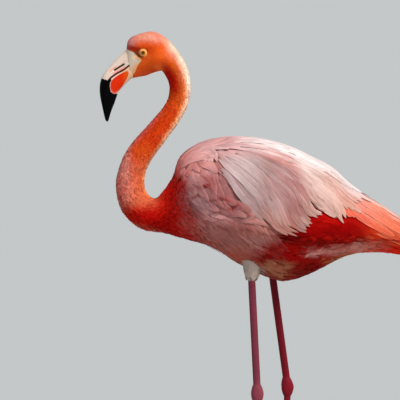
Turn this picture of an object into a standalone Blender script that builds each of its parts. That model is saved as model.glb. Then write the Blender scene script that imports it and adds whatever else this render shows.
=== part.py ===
"""A standing flamingo of the Caribbean kind, life size, as a still museum model.

The bird faces -X with its left side towards -Y and its soles on Z = 0. The head, neck, trunk and
tail are lengths of one long loft that runs from the face to the tail's tip. Each folded wing is a
shell laid on the trunk. Tables are in millimetres, and MM turns them into metres as a mesh is made.
"""

import math

import bpy
import numpy as np

MM = 0.001
GAP = 0.3  # mm, clearance between two pieces that meet
CUT_GAP = 0.5  # mm, the same where one piece is cut to another's curved side

# ---- body line, mm: name, back edge (x, z), belly edge (x, z), half width, egg ----
# egg > 0 makes a section wider towards its back edge.
HEAD = [
    ("face", (-243.8, 899.0), (-233.5, 849.0), 14.0, 0.10),
    ("brow", (-241.2, 914.0), (-224.0, 851.0), 17.5, 0.16),
    ("eye", (-219.5, 927.0), (-210.0, 853.5), 21.5, 0.20),
    ("crown", (-192.5, 929.5), (-196.0, 859.0), 23.0, 0.14),
    ("nape", (-170.0, 915.0), (-184.5, 862.0), 21.0, 0.06),
]

# The neck's middle line starts here and runs through bends of (length, turn in degrees).
NECK_START = (-163.0, 872.0)
NECK_HEADING = -56.0
NECK_BENDS = [(93.0, -72.0), (77.0, -1.5), (69.0, 38.0), (86.0, 102.0)]
NECK_STEPS = 3  # sections read from each bend
NECK_HALF = [(0.0, 21.0), (0.10, 18.6), (0.20, 18.3), (0.52, 22.3), (0.76, 26.0), (1.0, 38.0)]
NECK_CROOK = [(0.0, 0.0), (0.735, 0.0), (0.823, 3.0), (0.912, 8.0), (1.0, 7.0)]  # taken off the back half
NECK_WIDTH = [(0.0, 19.0), (0.12, 17.0), (0.52, 20.5), (0.76, 24.0), (1.0, 33.0)]

# ---- trunk, mm: name, back edge, belly edge, half width over the wings, roof ----
# roof > 1 draws the upper half of a section in towards a ridge.
TRUNK = [
    ("collar", (-166.8, 671.5), (-157.5, 570.5), 45.0, 1.0),
    ("breast", (-154.0, 707.0), (-129.5, 562.0), 66.0, 1.0),
    ("shoulder", (-124.0, 732.5), (-98.0, 553.0), 87.0, 1.0),
    ("mantle", (-77.0, 746.0), (-59.5, 530.0), 101.0, 1.0),
    ("back", (-19.0, 745.0), (-14.0, 506.0), 106.0, 1.0),
    ("loin", (33.0, 731.0), (33.0, 492.0), 101.0, 1.05),
    ("rump", (77.0, 711.5), (80.5, 506.0), 88.0, 1.1),
    ("vent", (119.0, 688.0), (127.5, 531.0), 73.0, 1.15),
    ("tail_root", (147.0, 662.0), (150.5, 539.0), 62.0, 1.2),
    ("tail_mid", (199.5, 628.5), (199.5, 542.5), 43.0, 1.25),
    ("tail_end", (252.0, 592.0), (252.0, 537.0), 27.0, 1.25),
    ("wing_tip", (291.0, 553.0), (291.0, 536.0), 12.0, 1.2),
]
# What lies under the wings: x, drop of the back edge, inset of each side.
CORE = [
    (-180.0, 0.0, 0.0),
    (-124.0, 1.0, 7.0),
    (-19.0, 1.5, 10.0),
    (33.0, 2.5, 10.0),
    (77.0, 9.0, 12.0),
    (121.0, 36.0, 17.0),
    (147.0, 58.0, 19.0),
    (199.5, 60.0, 12.0),
    (252.0, 41.0, 4.0),
    (291.0, 10.0, 0.0),
]
NECK_CUTS = (0.34, 0.68)  # shares of the neck where its three lengths meet
NECK_HEAD_END = 0.06  # share of the neck where the head ends
TRUNK_END_X = 150.0
TAIL_END_X = 268.0

# ---- folded wing, mm: x, upper edge in degrees from the back's ridge, height of the lower edge ----
WING = [
    (-146.0, 72.0, 640.0),
    (-136.0, 58.0, 612.0),
    (-112.0, 42.0, 586.0),
    (-70.0, 29.0, 570.0),
    (0.0, 19.0, 563.0),
    (50.0, 11.0, 560.0),
    (95.0, 4.5, 558.0),
    (130.0, 1.5, 558.0),
    (186.0, 1.5, 558.0),
    (235.0, 1.5, 551.0),
    (291.0, 1.5, 541.0),
]
WING_EDGE = 4.0  # mm, thickness of the wing's upper and lower edges where it lies on the trunk
RIDGE_GAP = 0.8  # mm, each wing's distance from the middle plane
RIDGE_JOIN_X = 60.0  # mm, behind this the two wings meet over the back in their full thickness
RIDGE_JOIN_LENGTH = 80.0

# ---- bill, mm: culmen, meeting line, underside, half width of the upper and of the lower half ----
BILL = [
    ((-244.2, 899.0), (-238.7, 871.8), (-233.9, 849.0), 13.6, 12.6),
    ((-257.6, 886.7), (-248.5, 864.0), (-239.2, 845.2), 11.6, 11.8),
    ((-272.1, 870.6), (-261.1, 857.1), (-249.4, 834.8), 10.8, 12.2),
    ((-284.4, 855.8), (-271.9, 848.8), (-257.2, 826.0), 10.6, 12.4),
    ((-290.2, 839.1), (-280.7, 835.6), (-260.9, 817.2), 9.8, 11.4),
    ((-290.5, 821.6), (-283.2, 817.2), (-265.5, 804.1), 8.0, 9.2),
    ((-287.0, 801.5), (-282.4, 798.9), (-270.7, 791.0), 5.6, 6.2),
    ((-281.4, 777.0), (-279.0, 775.4), (-275.8, 774.5), 2.4, 2.6),
]
BILL_SEAM = 0.2  # mm, from each half of the bill to their meeting line
NOSTRIL_MIDDLE = (-256.5, 868.3)
NOSTRIL_SLANT = 35.0
NOSTRIL_SIZE = (8.6, 4.5, 1.1)  # mm, half length, half depth, half height
NOSTRIL_SIDE = 10.6

EYE_MIDDLE = (-214.5, 894.8)
EYE_RADIUS = 8.0
EYE_SIDE = 16.6  # mm, from the middle plane to the eyeball's middle

# ---- legs, mm: each line runs down the middle of the leg ----
LEG_SIDE = 40.0
LEGS = {
    "left": {"side": -1, "hip": (-18.0, 575.0), "knee": (-23.5, 527.0), "feather_end": (-25.2, 497.0),
             "ankle": (-15.0, 297.5), "foot": (-18.5, 12.0)},
    "right": {"side": 1, "hip": (21.0, 575.0), "knee": (15.0, 524.0), "feather_end": (13.0, 494.0),
              "ankle": (40.0, 297.5), "foot": (31.5, 12.0)},
}
HIP_RADII = (37.0, 26.0)  # along the body, across it
KNEE_RADII = (17.0, 16.0)
FEATHER_END_RADII = (8.8, 8.4)
SHIN_RADII = (6.4, 5.6)
ANKLE_RADII = (10.5, 9.0)
ANKLE_HALF_HEIGHT = 17.0
SHANK_RADII = (5.8, 5.0)
SHANK_END_Z = 19.0

# ---- foot, mm: toe name, turn outwards in degrees, length ----
TOES = [("inner", -25.0, 62.0), ("middle", 3.0, 75.0), ("outer", 28.0, 67.0)]
TOE_RADII = (5.0, 3.1)
TOE_HEIGHTS = (7.4, 2.6)
TOE_DROP = 3.2  # how fast a toe comes down to the floor from its root
HUB_RADII = (11.0, 9.5, 9.0)
HUB_Z = 7.8  # mm, lower than the hub's half height: its pad is flat where it meets the floor
WEB_HEIGHTS = (0.9, 2.9)
WEB_SHARE = 0.88  # share of a toe's length that its web reaches
WEB_HOLLOW = 0.72  # the web's edge midway between two toes, as a share of that reach
HIND_TOE = (19.0, 13.0, 4.2)  # length, height at its root, height at its tip
HIND_TOE_RADII = (4.2, 2.6)
HIND_TOE_START = 2.0  # mm, from the hub's middle
CLAW_LENGTH = 8.5
HIND_CLAW_LENGTH = 6.0
HIND_CLAW_RADII = (2.3, 0.8)

# ---- how finely each loft is divided: sections along it, points round it ----
HEAD_GRID = (15, 18)
NECK_GRID = (9, 16)
TRUNK_GRID = (21, 26)  # the tail and the core's cutter have as many points round them
TAIL_SECTIONS = 6
WING_GRID = (25, 8)
BILL_GRID = (15, 9)
EYE_GRID = (8, 12)
LEG_GRID = (6, 12)
THIGH_AROUND = 18
ANKLE_SECTIONS = 7
TOE_GRID = (6, 8)
CLAW_GRID = (4, 8)

COLOURS = {
    "plumage_head": ((0.82, 0.30, 0.18), 0.75),
    "plumage_neck": ((0.84, 0.24, 0.10), 0.75),
    "plumage_body": ((0.80, 0.45, 0.40), 0.75),
    "plumage_wing": ((0.86, 0.58, 0.54), 0.70),
    "plumage_tail": ((0.82, 0.20, 0.08), 0.70),
    "plumage_thigh": ((0.86, 0.74, 0.68), 0.75),
    "leg_skin": ((0.42, 0.14, 0.24), 0.45),
    "bill_horn": ((0.62, 0.42, 0.36), 0.35),
    "claw_horn": ((0.06, 0.04, 0.04), 0.40),
    "eye": ((0.85, 0.72, 0.30), 0.08),
}


# ---- helpers ----
def clear_scene():
    for obj in list(bpy.data.objects):
        bpy.data.objects.remove(obj, do_unlink=True)


def make_collection(name):
    collection = bpy.data.collections.new(name)
    bpy.context.scene.collection.children.link(collection)
    return collection


def make_materials():
    made = {}
    for name, (colour, roughness) in COLOURS.items():
        material = bpy.data.materials.new(name)
        material.use_nodes = True
        shader = material.node_tree.nodes["Principled BSDF"]
        shader.inputs["Base Color"].default_value = (*colour, 1.0)
        shader.inputs["Roughness"].default_value = roughness
        made[name] = material
    return made


def smooth(knots, rows, at):
    """Rows of values read at any place between the knots, along a curve with no corners."""
    knots = np.asarray(knots, float)
    rows = np.asarray(rows, float).reshape(len(knots), -1)
    at = np.atleast_1d(np.asarray(at, float))
    spans = np.diff(knots)
    slopes = np.diff(rows, axis=0) / spans[:, None]
    inner = (slopes[:-1] * spans[1:, None] + slopes[1:] * spans[:-1, None]) / (spans[:-1] + spans[1:])[:, None]
    tangents = np.vstack([slopes[:1], inner, slopes[-1:]])
    i = np.clip(np.searchsorted(knots, at, side="right") - 1, 0, len(spans) - 1)
    u = ((at - knots[i]) / spans[i])[:, None]
    span = spans[i][:, None]
    return (
        (2 * u**3 - 3 * u**2 + 1) * rows[i]
        + (u**3 - 2 * u**2 + u) * span * tangents[i]
        + (3 * u**2 - 2 * u**3) * rows[i + 1]
        + (u**3 - u**2) * span * tangents[i + 1]
    )


def loft(name, rings, collection, material):
    """One closed mesh object through rings of equally many points, given in millimetres.

    Each four-sided patch is split along the same diagonal, so that a cutter follows its piece exactly.
    """
    rings = np.asarray(rings, float)
    count, around = rings.shape[:2]
    faces = []
    for i in range(count - 1):
        for j in range(around):
            near, far, step = i * around, (i + 1) * around, (j + 1) % around
            faces += [(near + j, far + j, far + step), (near + j, far + step, near + step)]
    faces.append(tuple(range(around)))
    faces.append(tuple(reversed(range((count - 1) * around, count * around))))
    mesh = bpy.data.meshes.new(name)
    mesh.from_pydata((rings.reshape(-1, 3) * MM).tolist(), [], faces)
    if signed_volume(mesh) < 0:
        mesh.flip_normals()
    mesh.shade_smooth()
    mesh.set_sharp_from_angle(angle=math.radians(50))
    mesh.materials.append(material)
    obj = bpy.data.objects.new(name, mesh)
    collection.objects.link(obj)
    return obj


def signed_volume(mesh):
    mesh.calc_loop_triangles()
    total = 0.0
    for triangle in mesh.loop_triangles:
        a, b, c = (mesh.vertices[i].co for i in triangle.vertices)
        total += a.dot(b.cross(c))
    return total


def make_helper(obj):
    obj.hide_render = True
    obj.display_type = "WIRE"
    return obj


def add_boolean(obj, helper, operation):
    modifier = obj.modifiers.new(helper.name, "BOOLEAN")
    modifier.operation = operation
    modifier.solver = "EXACT"
    modifier.object = helper


# ---- the body's long loft ----
def neck_line():
    """Points and headings of the neck's middle line: each bend turns evenly along its length."""
    x, z = NECK_START
    heading = math.radians(NECK_HEADING)
    total = sum(length for length, _ in NECK_BENDS)
    points, run = [(0.0, x, z, heading)], 0.0
    fine = 12
    for length, turn in NECK_BENDS:
        for i in range(NECK_STEPS * fine):
            step = length / (NECK_STEPS * fine)
            heading += math.radians(turn) / (NECK_STEPS * fine) / 2
            x += step * math.cos(heading)
            z += step * math.sin(heading)
            heading += math.radians(turn) / (NECK_STEPS * fine) / 2
            run += step
            if (i + 1) % fine == 0:
                points.append((run / total, x, z, heading))
    return points


def body_rows():
    """(places along the body, rows of back edge, belly edge, half width, egg, roof), in order from the face."""
    rows = [(*back, *belly, width, egg, 1.0) for _, back, belly, width, egg in HEAD]
    shares = []
    for share, x, z, heading in neck_line():
        half = smooth([s for s, _ in NECK_HALF], [h for _, h in NECK_HALF], share)[0, 0]
        width = smooth([s for s, _ in NECK_WIDTH], [w for _, w in NECK_WIDTH], share)[0, 0]
        crook = float(np.interp(share, *zip(*NECK_CROOK)))
        up = (-math.sin(heading), math.cos(heading))
        back, belly = (half - crook), -half
        rows.append((x + up[0] * back, z + up[1] * back, x + up[0] * belly, z + up[1] * belly, width, 0.0, 1.0))
        shares.append(share)
    rows += [(*back, *belly, width, 0.0, roof) for _, back, belly, width, roof in TRUNK]
    rows = np.array(rows)
    middles = (rows[:, 0:2] + rows[:, 2:4]) / 2
    places = np.concatenate([[0.0], np.cumsum(np.linalg.norm(np.diff(middles, axis=0), axis=1))])
    neck_places = places[len(HEAD) : len(HEAD) + len(shares)]
    return places, rows, neck_places


PLACES, ROWS, NECK_PLACES = body_rows()


def section(place, core=True):
    """Back edge, belly edge, half width, egg and roof at one place; core leaves out the folded wings."""
    back_x, back_z, belly_x, belly_z, width, egg, roof = smooth(PLACES, ROWS, place)[0]
    back, belly = np.array([back_x, back_z]), np.array([belly_x, belly_z])
    if core and place > NECK_PLACES[-1]:
        drop, inset = smooth([c[0] for c in CORE], [c[1:] for c in CORE], (back_x + belly_x) / 2)[0]
        back = back + (belly - back) / np.linalg.norm(belly - back) * drop
        width, roof = width - inset, 1.0
    return back, belly, width, egg, roof


def on_section(shape, angles, grow=0.0):
    """Points of a section at these angles, from its back edge (0) down its +Y side to its belly edge (pi)."""
    back, belly, width, egg, roof = shape
    middle, up = (back + belly) / 2, (back - belly) / 2
    up = up * (1 + grow / np.linalg.norm(up))
    sides = np.sin(angles)
    spread = np.abs(sides) ** np.where(np.cos(angles) > 0, roof, 1.0) * np.sign(sides)
    y = (width + grow) * spread * (1 + egg * np.cos(angles))
    return np.column_stack([middle[0] + up[0] * np.cos(angles), y, middle[1] + up[1] * np.cos(angles)])


def place_at_x(x):
    """The place along the trunk or tail whose section's middle lies at this x."""
    places = np.linspace(NECK_PLACES[-1], PLACES[-1], 400)
    rows = smooth(PLACES, ROWS, places)
    return float(np.interp(x, (rows[:, 0] + rows[:, 2]) / 2, places))


def body_length(name, places, around, collection, material, grow=0.0):
    angles = np.linspace(0, 2 * math.pi, around, endpoint=False)
    rings = [on_section(section(place), angles, grow) for place in places]
    return loft(name, rings, collection, material)


def neck_place(share):
    return float(NECK_PLACES[0] + share * (NECK_PLACES[-1] - NECK_PLACES[0]))


# ---- pieces ----
def make_body(parts, helpers, materials):
    half = GAP / 2
    cuts = [neck_place(NECK_HEAD_END), *(neck_place(share) for share in NECK_CUTS), NECK_PLACES[-1]]
    trunk_end, tail_end = place_at_x(TRUNK_END_X), place_at_x(TAIL_END_X)
    head = body_length("head", np.linspace(0.0, cuts[0] - half, HEAD_GRID[0]), HEAD_GRID[1], parts, materials["plumage_head"])
    for name, start, end in zip(("neck_upper", "neck_middle", "neck_lower"), cuts, cuts[1:]):
        places = np.linspace(start + half, end - half, NECK_GRID[0])
        body_length(name, places, NECK_GRID[1], parts, materials["plumage_neck"])
    trunk_places = np.linspace(cuts[-1] + half, trunk_end - half, TRUNK_GRID[0])
    tail_places = np.linspace(trunk_end + half, tail_end, TAIL_SECTIONS)
    body_length("trunk", trunk_places, TRUNK_GRID[1], parts, materials["plumage_body"])
    body_length("tail", tail_places, TRUNK_GRID[1], parts, materials["plumage_tail"])
    core_places = [cuts[-1] - 10, *trunk_places, *tail_places, tail_end + 2 * GAP]
    core = body_length("core_cutter", core_places, TRUNK_GRID[1], helpers, materials["plumage_body"], CUT_GAP)
    return head, make_helper(core)


def make_wing(name, side, core, parts, materials):
    """A shell from the shoulder to the tail's tip: outside it follows the body, inside the core."""
    across = np.linspace(0, 1, WING_GRID[1])
    rings = []
    for x in np.linspace(WING[0][0], WING[-1][0], WING_GRID[0]):
        upper, lower_z = smooth([w[0] for w in WING], [w[1:] for w in WING], x)[0]
        outer, inner = section(place_at_x(x), core=False), section(place_at_x(x))
        lower = [edge_angle(shape, lower_z) for shape in (outer, inner)]
        upper = math.radians(upper)
        full = on_section(outer, upper + across * (lower[0] - upper))
        low = on_section(inner, upper + across * (lower[1] - upper), -1.0)
        lies_on_back = np.clip((RIDGE_JOIN_X - x) / RIDGE_JOIN_LENGTH, 0, 1)
        share = np.minimum(1, 0.35 + 1.6 * np.sin(across * math.pi))
        share = np.where(across < 0.5, share * lies_on_back + 1 - lies_on_back, share)
        thickness = np.linalg.norm(full - low, axis=1)
        share = np.maximum(share, np.minimum(1, WING_EDGE / thickness))[:, None]
        ring = np.vstack([low + (full - low) * share, low[::-1]])
        ring[:, 1] = np.maximum(ring[:, 1], RIDGE_GAP) * side
        rings.append(ring)
    wing = loft(name, rings, parts, materials["plumage_wing"])
    add_boolean(wing, core, "DIFFERENCE")


def edge_angle(shape, z):
    """The angle at which a section stands at this height."""
    back, belly = shape[:2]
    cosine = (z - (back[1] + belly[1]) / 2) / ((back[1] - belly[1]) / 2)
    return math.acos(float(np.clip(cosine, -0.96, 0.96)))


def half_bill(name, edge_column, width_column, sign, parts, material):
    """One half of the bill: an arch from the meeting line out to the culmen or to the underside."""
    knots = np.arange(len(BILL))
    rows = [(*row[1], *row[edge_column], row[width_column]) for row in BILL]
    arch = np.linspace(0, math.pi, BILL_GRID[1])
    rings = []
    for seam_x, seam_z, edge_x, edge_z, width in smooth(knots, rows, np.linspace(0, len(BILL) - 1, BILL_GRID[0])):
        seam, edge = np.array([seam_x, seam_z]), np.array([edge_x, edge_z])
        seam = seam + (edge - seam) / np.linalg.norm(edge - seam) * BILL_SEAM
        rise = np.sin(arch) ** 0.85
        across = np.sign(np.cos(arch)) * np.abs(np.cos(arch)) ** 0.9 * width
        line = seam + rise[:, None] * (edge - seam)
        rings.append(np.column_stack([line[:, 0], across * sign, line[:, 1]]))
    return loft(name, rings, parts, material)


def make_bill(parts, helpers, materials):
    upper = half_bill("bill_upper", 0, 3, 1, parts, materials["bill_horn"])
    half_bill("bill_lower", 2, 4, -1, parts, materials["bill_horn"])
    for side_name, side in (("left", -1), ("right", 1)):
        place = (NOSTRIL_MIDDLE[0], NOSTRIL_SIDE * side, NOSTRIL_MIDDLE[1])
        turn = (0.0, math.radians(-NOSTRIL_SLANT), 0.0)
        slit = ellipsoid("nostril_" + side_name, place, NOSTRIL_SIZE, 10, 6, helpers, materials["bill_horn"], turn)
        add_boolean(upper, make_helper(slit), "DIFFERENCE")


def ellipsoid(name, middle, radii, around, rings, collection, material, turn=(0.0, 0.0, 0.0)):
    bpy.ops.mesh.primitive_uv_sphere_add(segments=around, ring_count=rings, radius=1.0)
    obj = bpy.context.active_object
    for holder in list(obj.users_collection):
        holder.objects.unlink(obj)
    collection.objects.link(obj)
    obj.name = obj.data.name = name
    for vertex in obj.data.vertices:
        vertex.co = [c * r * MM for c, r in zip(vertex.co, radii)]
    obj.rotation_euler = turn
    obj.location = [c * MM for c in middle]
    obj.data.shade_smooth()
    obj.data.materials.append(material)
    return obj


def make_eyes(head, parts, helpers, materials):
    for side_name, side in (("left", -1), ("right", 1)):
        middle = (EYE_MIDDLE[0], EYE_SIDE * side, EYE_MIDDLE[1])
        ellipsoid("eye_" + side_name, middle, (EYE_RADIUS,) * 3, EYE_GRID[1], EYE_GRID[0], parts, materials["eye"])
        socket_radii = (EYE_RADIUS + 2 * GAP,) * 3
        socket = ellipsoid("socket_" + side_name, middle, socket_radii, EYE_GRID[1], EYE_GRID[0], helpers, materials["eye"])
        add_boolean(head, make_helper(socket), "DIFFERENCE")


def limb_rings(line, radii, around=LEG_GRID[1]):
    """Level rings down a leg: line holds (x, z), radii (along the body, across it)."""
    angles = np.linspace(0, 2 * math.pi, around, endpoint=False)
    return [
        np.column_stack([x + a * np.cos(angles), b * np.sin(angles), np.full(around, z)])
        for (x, z), (a, b) in zip(line, radii)
    ]


def down_line(start, end, steps):
    return [(start[0] + (end[0] - start[0]) * t, start[1] + (end[1] - start[1]) * t) for t in np.linspace(0, 1, steps)]


def moved(rings, y):
    return [ring + np.array([0.0, y, 0.0]) for ring in rings]


def make_leg(name, leg, core, parts, helpers, materials):
    y = LEG_SIDE * leg["side"]
    flesh = [leg["hip"], leg["knee"], leg["feather_end"]]
    steps = np.linspace(0, 2, 9)
    line = smooth([0, 1, 2], flesh, steps)
    radii = smooth([0, 1, 2], [HIP_RADII, KNEE_RADII, FEATHER_END_RADII], steps)
    thigh = loft("thigh_" + name, moved(limb_rings(line, radii, THIGH_AROUND), y), parts, materials["plumage_thigh"])
    add_boolean(thigh, core, "DIFFERENCE")

    ankle_x, ankle_z = leg["ankle"]
    shin_top = (leg["feather_end"][0], leg["feather_end"][1] - GAP)
    shin_end = (ankle_x, ankle_z + ANKLE_HALF_HEIGHT + GAP)
    shin = limb_rings(down_line(shin_top, shin_end, LEG_GRID[0]), [SHIN_RADII] * LEG_GRID[0])
    loft("shin_" + name, moved(shin, y), parts, materials["leg_skin"])

    rises = np.linspace(1, -1, ANKLE_SECTIONS)
    swell = np.cos(rises * math.pi / 2) ** 0.8
    knob_line = [(ankle_x, ankle_z + rise * ANKLE_HALF_HEIGHT) for rise in rises]
    knob_radii = [tuple(s + (a - s) * t for s, a in zip(SHANK_RADII, ANKLE_RADII)) for t in swell]
    loft("ankle_" + name, moved(limb_rings(knob_line, knob_radii), y), parts, materials["leg_skin"])

    foot_x = leg["foot"][0]
    shank_top, shank_end = (ankle_x, ankle_z - ANKLE_HALF_HEIGHT - GAP), (foot_x, SHANK_END_Z)
    shank = limb_rings(down_line(shank_top, shank_end, LEG_GRID[0]), [SHANK_RADII] * LEG_GRID[0])
    loft("shank_" + name, moved(shank, y), parts, materials["leg_skin"])
    make_foot(name, leg["side"], (foot_x, y), parts, helpers, materials)


def toe_rings(root, turn, length, radii, heights, start=0.0, grid=TOE_GRID):
    """Rings out along a toe that points to -X when turn is 0, flattened where they would pass the floor."""
    heading = np.array([-math.cos(turn), math.sin(turn)])
    across = np.array([-heading[1], heading[0]])
    angles = np.linspace(0, 2 * math.pi, grid[1], endpoint=False)
    rings = []
    for t in np.linspace(0, 1, grid[0]):
        out = root + heading * (start + t * length)
        radius = radii[0] + (radii[1] - radii[0]) * t
        height = heights[1] + (heights[0] - heights[1]) * (1 - t) ** TOE_DROP
        flat = out + across * radius * np.cos(angles)[:, None]
        rings.append(np.column_stack([flat, np.maximum(height + radius * np.sin(angles), 0.0)]))
    return rings


def web_ring(root, side, height):
    """The web's outline at one height: from the hub round the toes, drawn in between each two."""
    reach = [(math.radians(turn) * side, length * WEB_SHARE) for _, turn, length in TOES]
    points = [root + np.array([6.0, 0.0])]
    for i, (turn, length) in enumerate(reach):
        points.append(root + length * np.array([-math.cos(turn), math.sin(turn)]))
        if i + 1 < len(reach):
            for t in (0.25, 0.5, 0.75):
                mid_turn = turn + (reach[i + 1][0] - turn) * t
                mid_length = length + (reach[i + 1][1] - length) * t
                mid_length *= 1 - (1 - WEB_HOLLOW) * math.sin(math.pi * t)
                points.append(root + mid_length * np.array([-math.cos(mid_turn), math.sin(mid_turn)]))
    return np.column_stack([np.array(points), np.full(len(points), height)])


def make_foot(name, side, root, parts, helpers, materials):
    skin = materials["leg_skin"]
    root = np.array(root)
    foot = ellipsoid("foot_" + name, (*root, HUB_Z), HUB_RADII, 12, 8, parts, skin)
    for vertex in foot.data.vertices:
        vertex.co.z = max(vertex.co.z, -HUB_Z * MM)
    stub_line = [(root[0], SHANK_END_Z - GAP), (root[0], HUB_Z)]
    pieces = [loft("stub_" + name, moved(limb_rings(stub_line, [SHANK_RADII] * 2), root[1]), helpers, skin)]
    for toe, turn, length in TOES:
        angle = math.radians(turn) * side
        rings = toe_rings(root, angle, length, TOE_RADII, TOE_HEIGHTS)
        pieces.append(loft(f"toe_{name}_{toe}", rings, helpers, skin))
        claw_radii, claw_heights = (TOE_RADII[1] * 0.9, 0.9), (TOE_HEIGHTS[1], 1.6)
        rings = toe_rings(root, angle, CLAW_LENGTH, claw_radii, claw_heights, length + GAP, CLAW_GRID)
        loft(f"claw_{name}_{toe}", rings, parts, materials["claw_horn"])
    web = [web_ring(root, side, height) for height in WEB_HEIGHTS]
    pieces.append(loft("web_" + name, web, helpers, skin))
    hind_length, high, low = HIND_TOE
    back_turn = math.pi + math.radians(18) * side
    rings = toe_rings(root, back_turn, hind_length, HIND_TOE_RADII, (high, low), HIND_TOE_START)
    pieces.append(loft("toe_" + name + "_hind", rings, helpers, skin))
    claw_start = HIND_TOE_START + hind_length + GAP
    rings = toe_rings(root, back_turn, HIND_CLAW_LENGTH, HIND_CLAW_RADII, (low, low - 1.6), claw_start, CLAW_GRID)
    loft(f"claw_{name}_hind", rings, parts, materials["claw_horn"])
    for piece in pieces:
        add_boolean(foot, make_helper(piece), "UNION")


def main():
    clear_scene()
    parts, helpers = make_collection("flamingo"), make_collection("cutters")
    materials = make_materials()
    head, core = make_body(parts, helpers, materials)
    make_bill(parts, helpers, materials)
    make_eyes(head, parts, helpers, materials)
    for side_name, side in (("left", -1), ("right", 1)):
        make_wing("wing_" + side_name, side, core, parts, materials)
        make_leg(side_name, LEGS[side_name], core, parts, helpers, materials)


main()
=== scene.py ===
import math

import bpy
import numpy as np
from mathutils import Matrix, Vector
from mathutils.bvhtree import BVHTree


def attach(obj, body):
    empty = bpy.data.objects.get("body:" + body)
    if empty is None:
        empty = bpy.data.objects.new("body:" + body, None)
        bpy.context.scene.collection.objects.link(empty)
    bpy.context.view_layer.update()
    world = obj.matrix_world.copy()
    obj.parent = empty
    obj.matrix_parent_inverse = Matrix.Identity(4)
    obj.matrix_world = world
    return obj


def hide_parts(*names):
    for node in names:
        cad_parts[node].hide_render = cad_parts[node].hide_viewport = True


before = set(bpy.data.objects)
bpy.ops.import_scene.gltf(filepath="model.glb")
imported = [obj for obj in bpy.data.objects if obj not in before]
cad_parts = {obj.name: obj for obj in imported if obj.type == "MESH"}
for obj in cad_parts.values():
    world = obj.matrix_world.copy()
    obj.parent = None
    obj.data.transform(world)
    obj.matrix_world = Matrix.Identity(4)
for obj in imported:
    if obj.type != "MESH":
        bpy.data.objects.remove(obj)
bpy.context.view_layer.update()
mm = 0.001  # tables are in millimetres, meshes in metres
print("frame loaded:", len(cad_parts), "solids")


def ease(t):  # 3t^2 - 2t^3 between 0 and 1
    t = np.clip(t, 0.0, 1.0)
    return t * t * (3 - 2 * t)


def smoothRows(knots, rows, at):
    # cubic pieces whose slope at each knot is the span-weighted mean of the two chords beside it
    knots, rows = np.asarray(knots, float), np.asarray(rows, float)
    rows = rows.reshape(len(knots), -1)
    at = np.atleast_1d(np.asarray(at, float))
    spans = np.diff(knots)
    chords = np.diff(rows, axis=0) / spans[:, None]
    before, after = spans[:-1, None], spans[1:, None]
    inner = (chords[:-1] * after + chords[1:] * before) / (before + after)
    slopes = np.vstack([chords[:1], inner, chords[-1:]])
    i = np.clip(np.searchsorted(knots, at, side="right") - 1, 0, len(spans) - 1)
    u, span = ((at - knots[i]) / spans[i])[:, None], spans[i][:, None]
    start = (2 * u**3 - 3 * u**2 + 1) * rows[i] + (u**3 - 2 * u**2 + u) * span * slopes[i]
    return start + (3 * u**2 - 2 * u**3) * rows[i + 1] + (u**3 - u**2) * span * slopes[i + 1]


def unit(v):
    return v / np.maximum(np.linalg.norm(v, axis=-1, keepdims=True), 1e-9)


def dot(a, b):
    return np.sum(a * b, axis=-1, keepdims=True)


def blend(colours, weight, colour):
    # each colour moves by its weight towards the one given
    return colours + weight[..., None] * (np.array(colour) - colours)


def turnAngles(count):
    return np.linspace(0, 2 * math.pi, count, endpoint=False)


def buildMesh(name, points, *polygons):
    # points in millimetres; each polygon array holds faces of one size as rows of point numbers
    mesh = bpy.data.meshes.new(name)
    mesh.vertices.add(len(points))
    mesh.vertices.foreach_set("co", (np.asarray(points) * mm).astype(np.float32).ravel())
    corners = np.concatenate([p.ravel() for p in polygons]).astype(np.int32)
    sizes = np.concatenate([np.full(len(p), p.shape[1]) for p in polygons])
    mesh.loops.add(len(corners))
    mesh.loops.foreach_set("vertex_index", corners)
    mesh.polygons.add(len(sizes))
    mesh.polygons.foreach_set("loop_start", np.concatenate([[0], np.cumsum(sizes)[:-1]]).astype(np.int32))
    mesh.update(calc_edges=True)
    mesh.validate()
    mesh.shade_smooth()
    return mesh


def tubeFaces(rings, around):
    # quads between neighbouring rings, and one many-sided face on each end
    i, j = np.meshgrid(np.arange(rings - 1), np.arange(around), indexing="ij")
    i, j, k = i.ravel() * around, j.ravel(), (j.ravel() + 1) % around
    quads = np.stack([i + j, i + around + j, i + around + k, i + k], axis=1)
    start = np.arange(around)[None, :]
    return [quads, start, (rings - 1) * around + start[:, ::-1]]


def newObject(name, data):
    obj = bpy.data.objects.new(name, data)
    bpy.context.scene.collection.objects.link(obj)
    return obj


def addPiece(name, mesh, materials, replaced=()):
    obj = newObject(name, mesh)
    for material in materials:
        mesh.materials.append(material)
    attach(obj, "root")
    if replaced:
        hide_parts(*replaced)
    return obj


def tubeMesh(name, rings):
    # a closed tube from an array of rings of points
    return buildMesh(name, rings.reshape(-1, 3), *tubeFaces(*rings.shape[:2]))


def setValues(mesh, name, values, kind="FLOAT", field="value"):
    # one number or one vector for each point
    attribute = mesh.attributes.new(name, kind, "POINT")
    attribute.data.foreach_set(field, values.astype(np.float32).ravel())


def setColours(mesh, name, colours):
    # one colour for each point
    attribute = mesh.color_attributes.new(name, "FLOAT_COLOR", "POINT")
    rgba = np.ones((len(colours), 4), np.float32)
    rgba[:, :3] = np.clip(colours, 0, 1)
    attribute.data.foreach_set("color", rgba.ravel())


def readAll(items, field, width=1, kind=np.float32):
    values = np.empty(len(items) * width, kind)
    items.foreach_get(field, values)
    return values.reshape(-1, width)


def meshPoints(mesh):
    return readAll(mesh.vertices, "co", 3).astype(float) / mm


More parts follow.
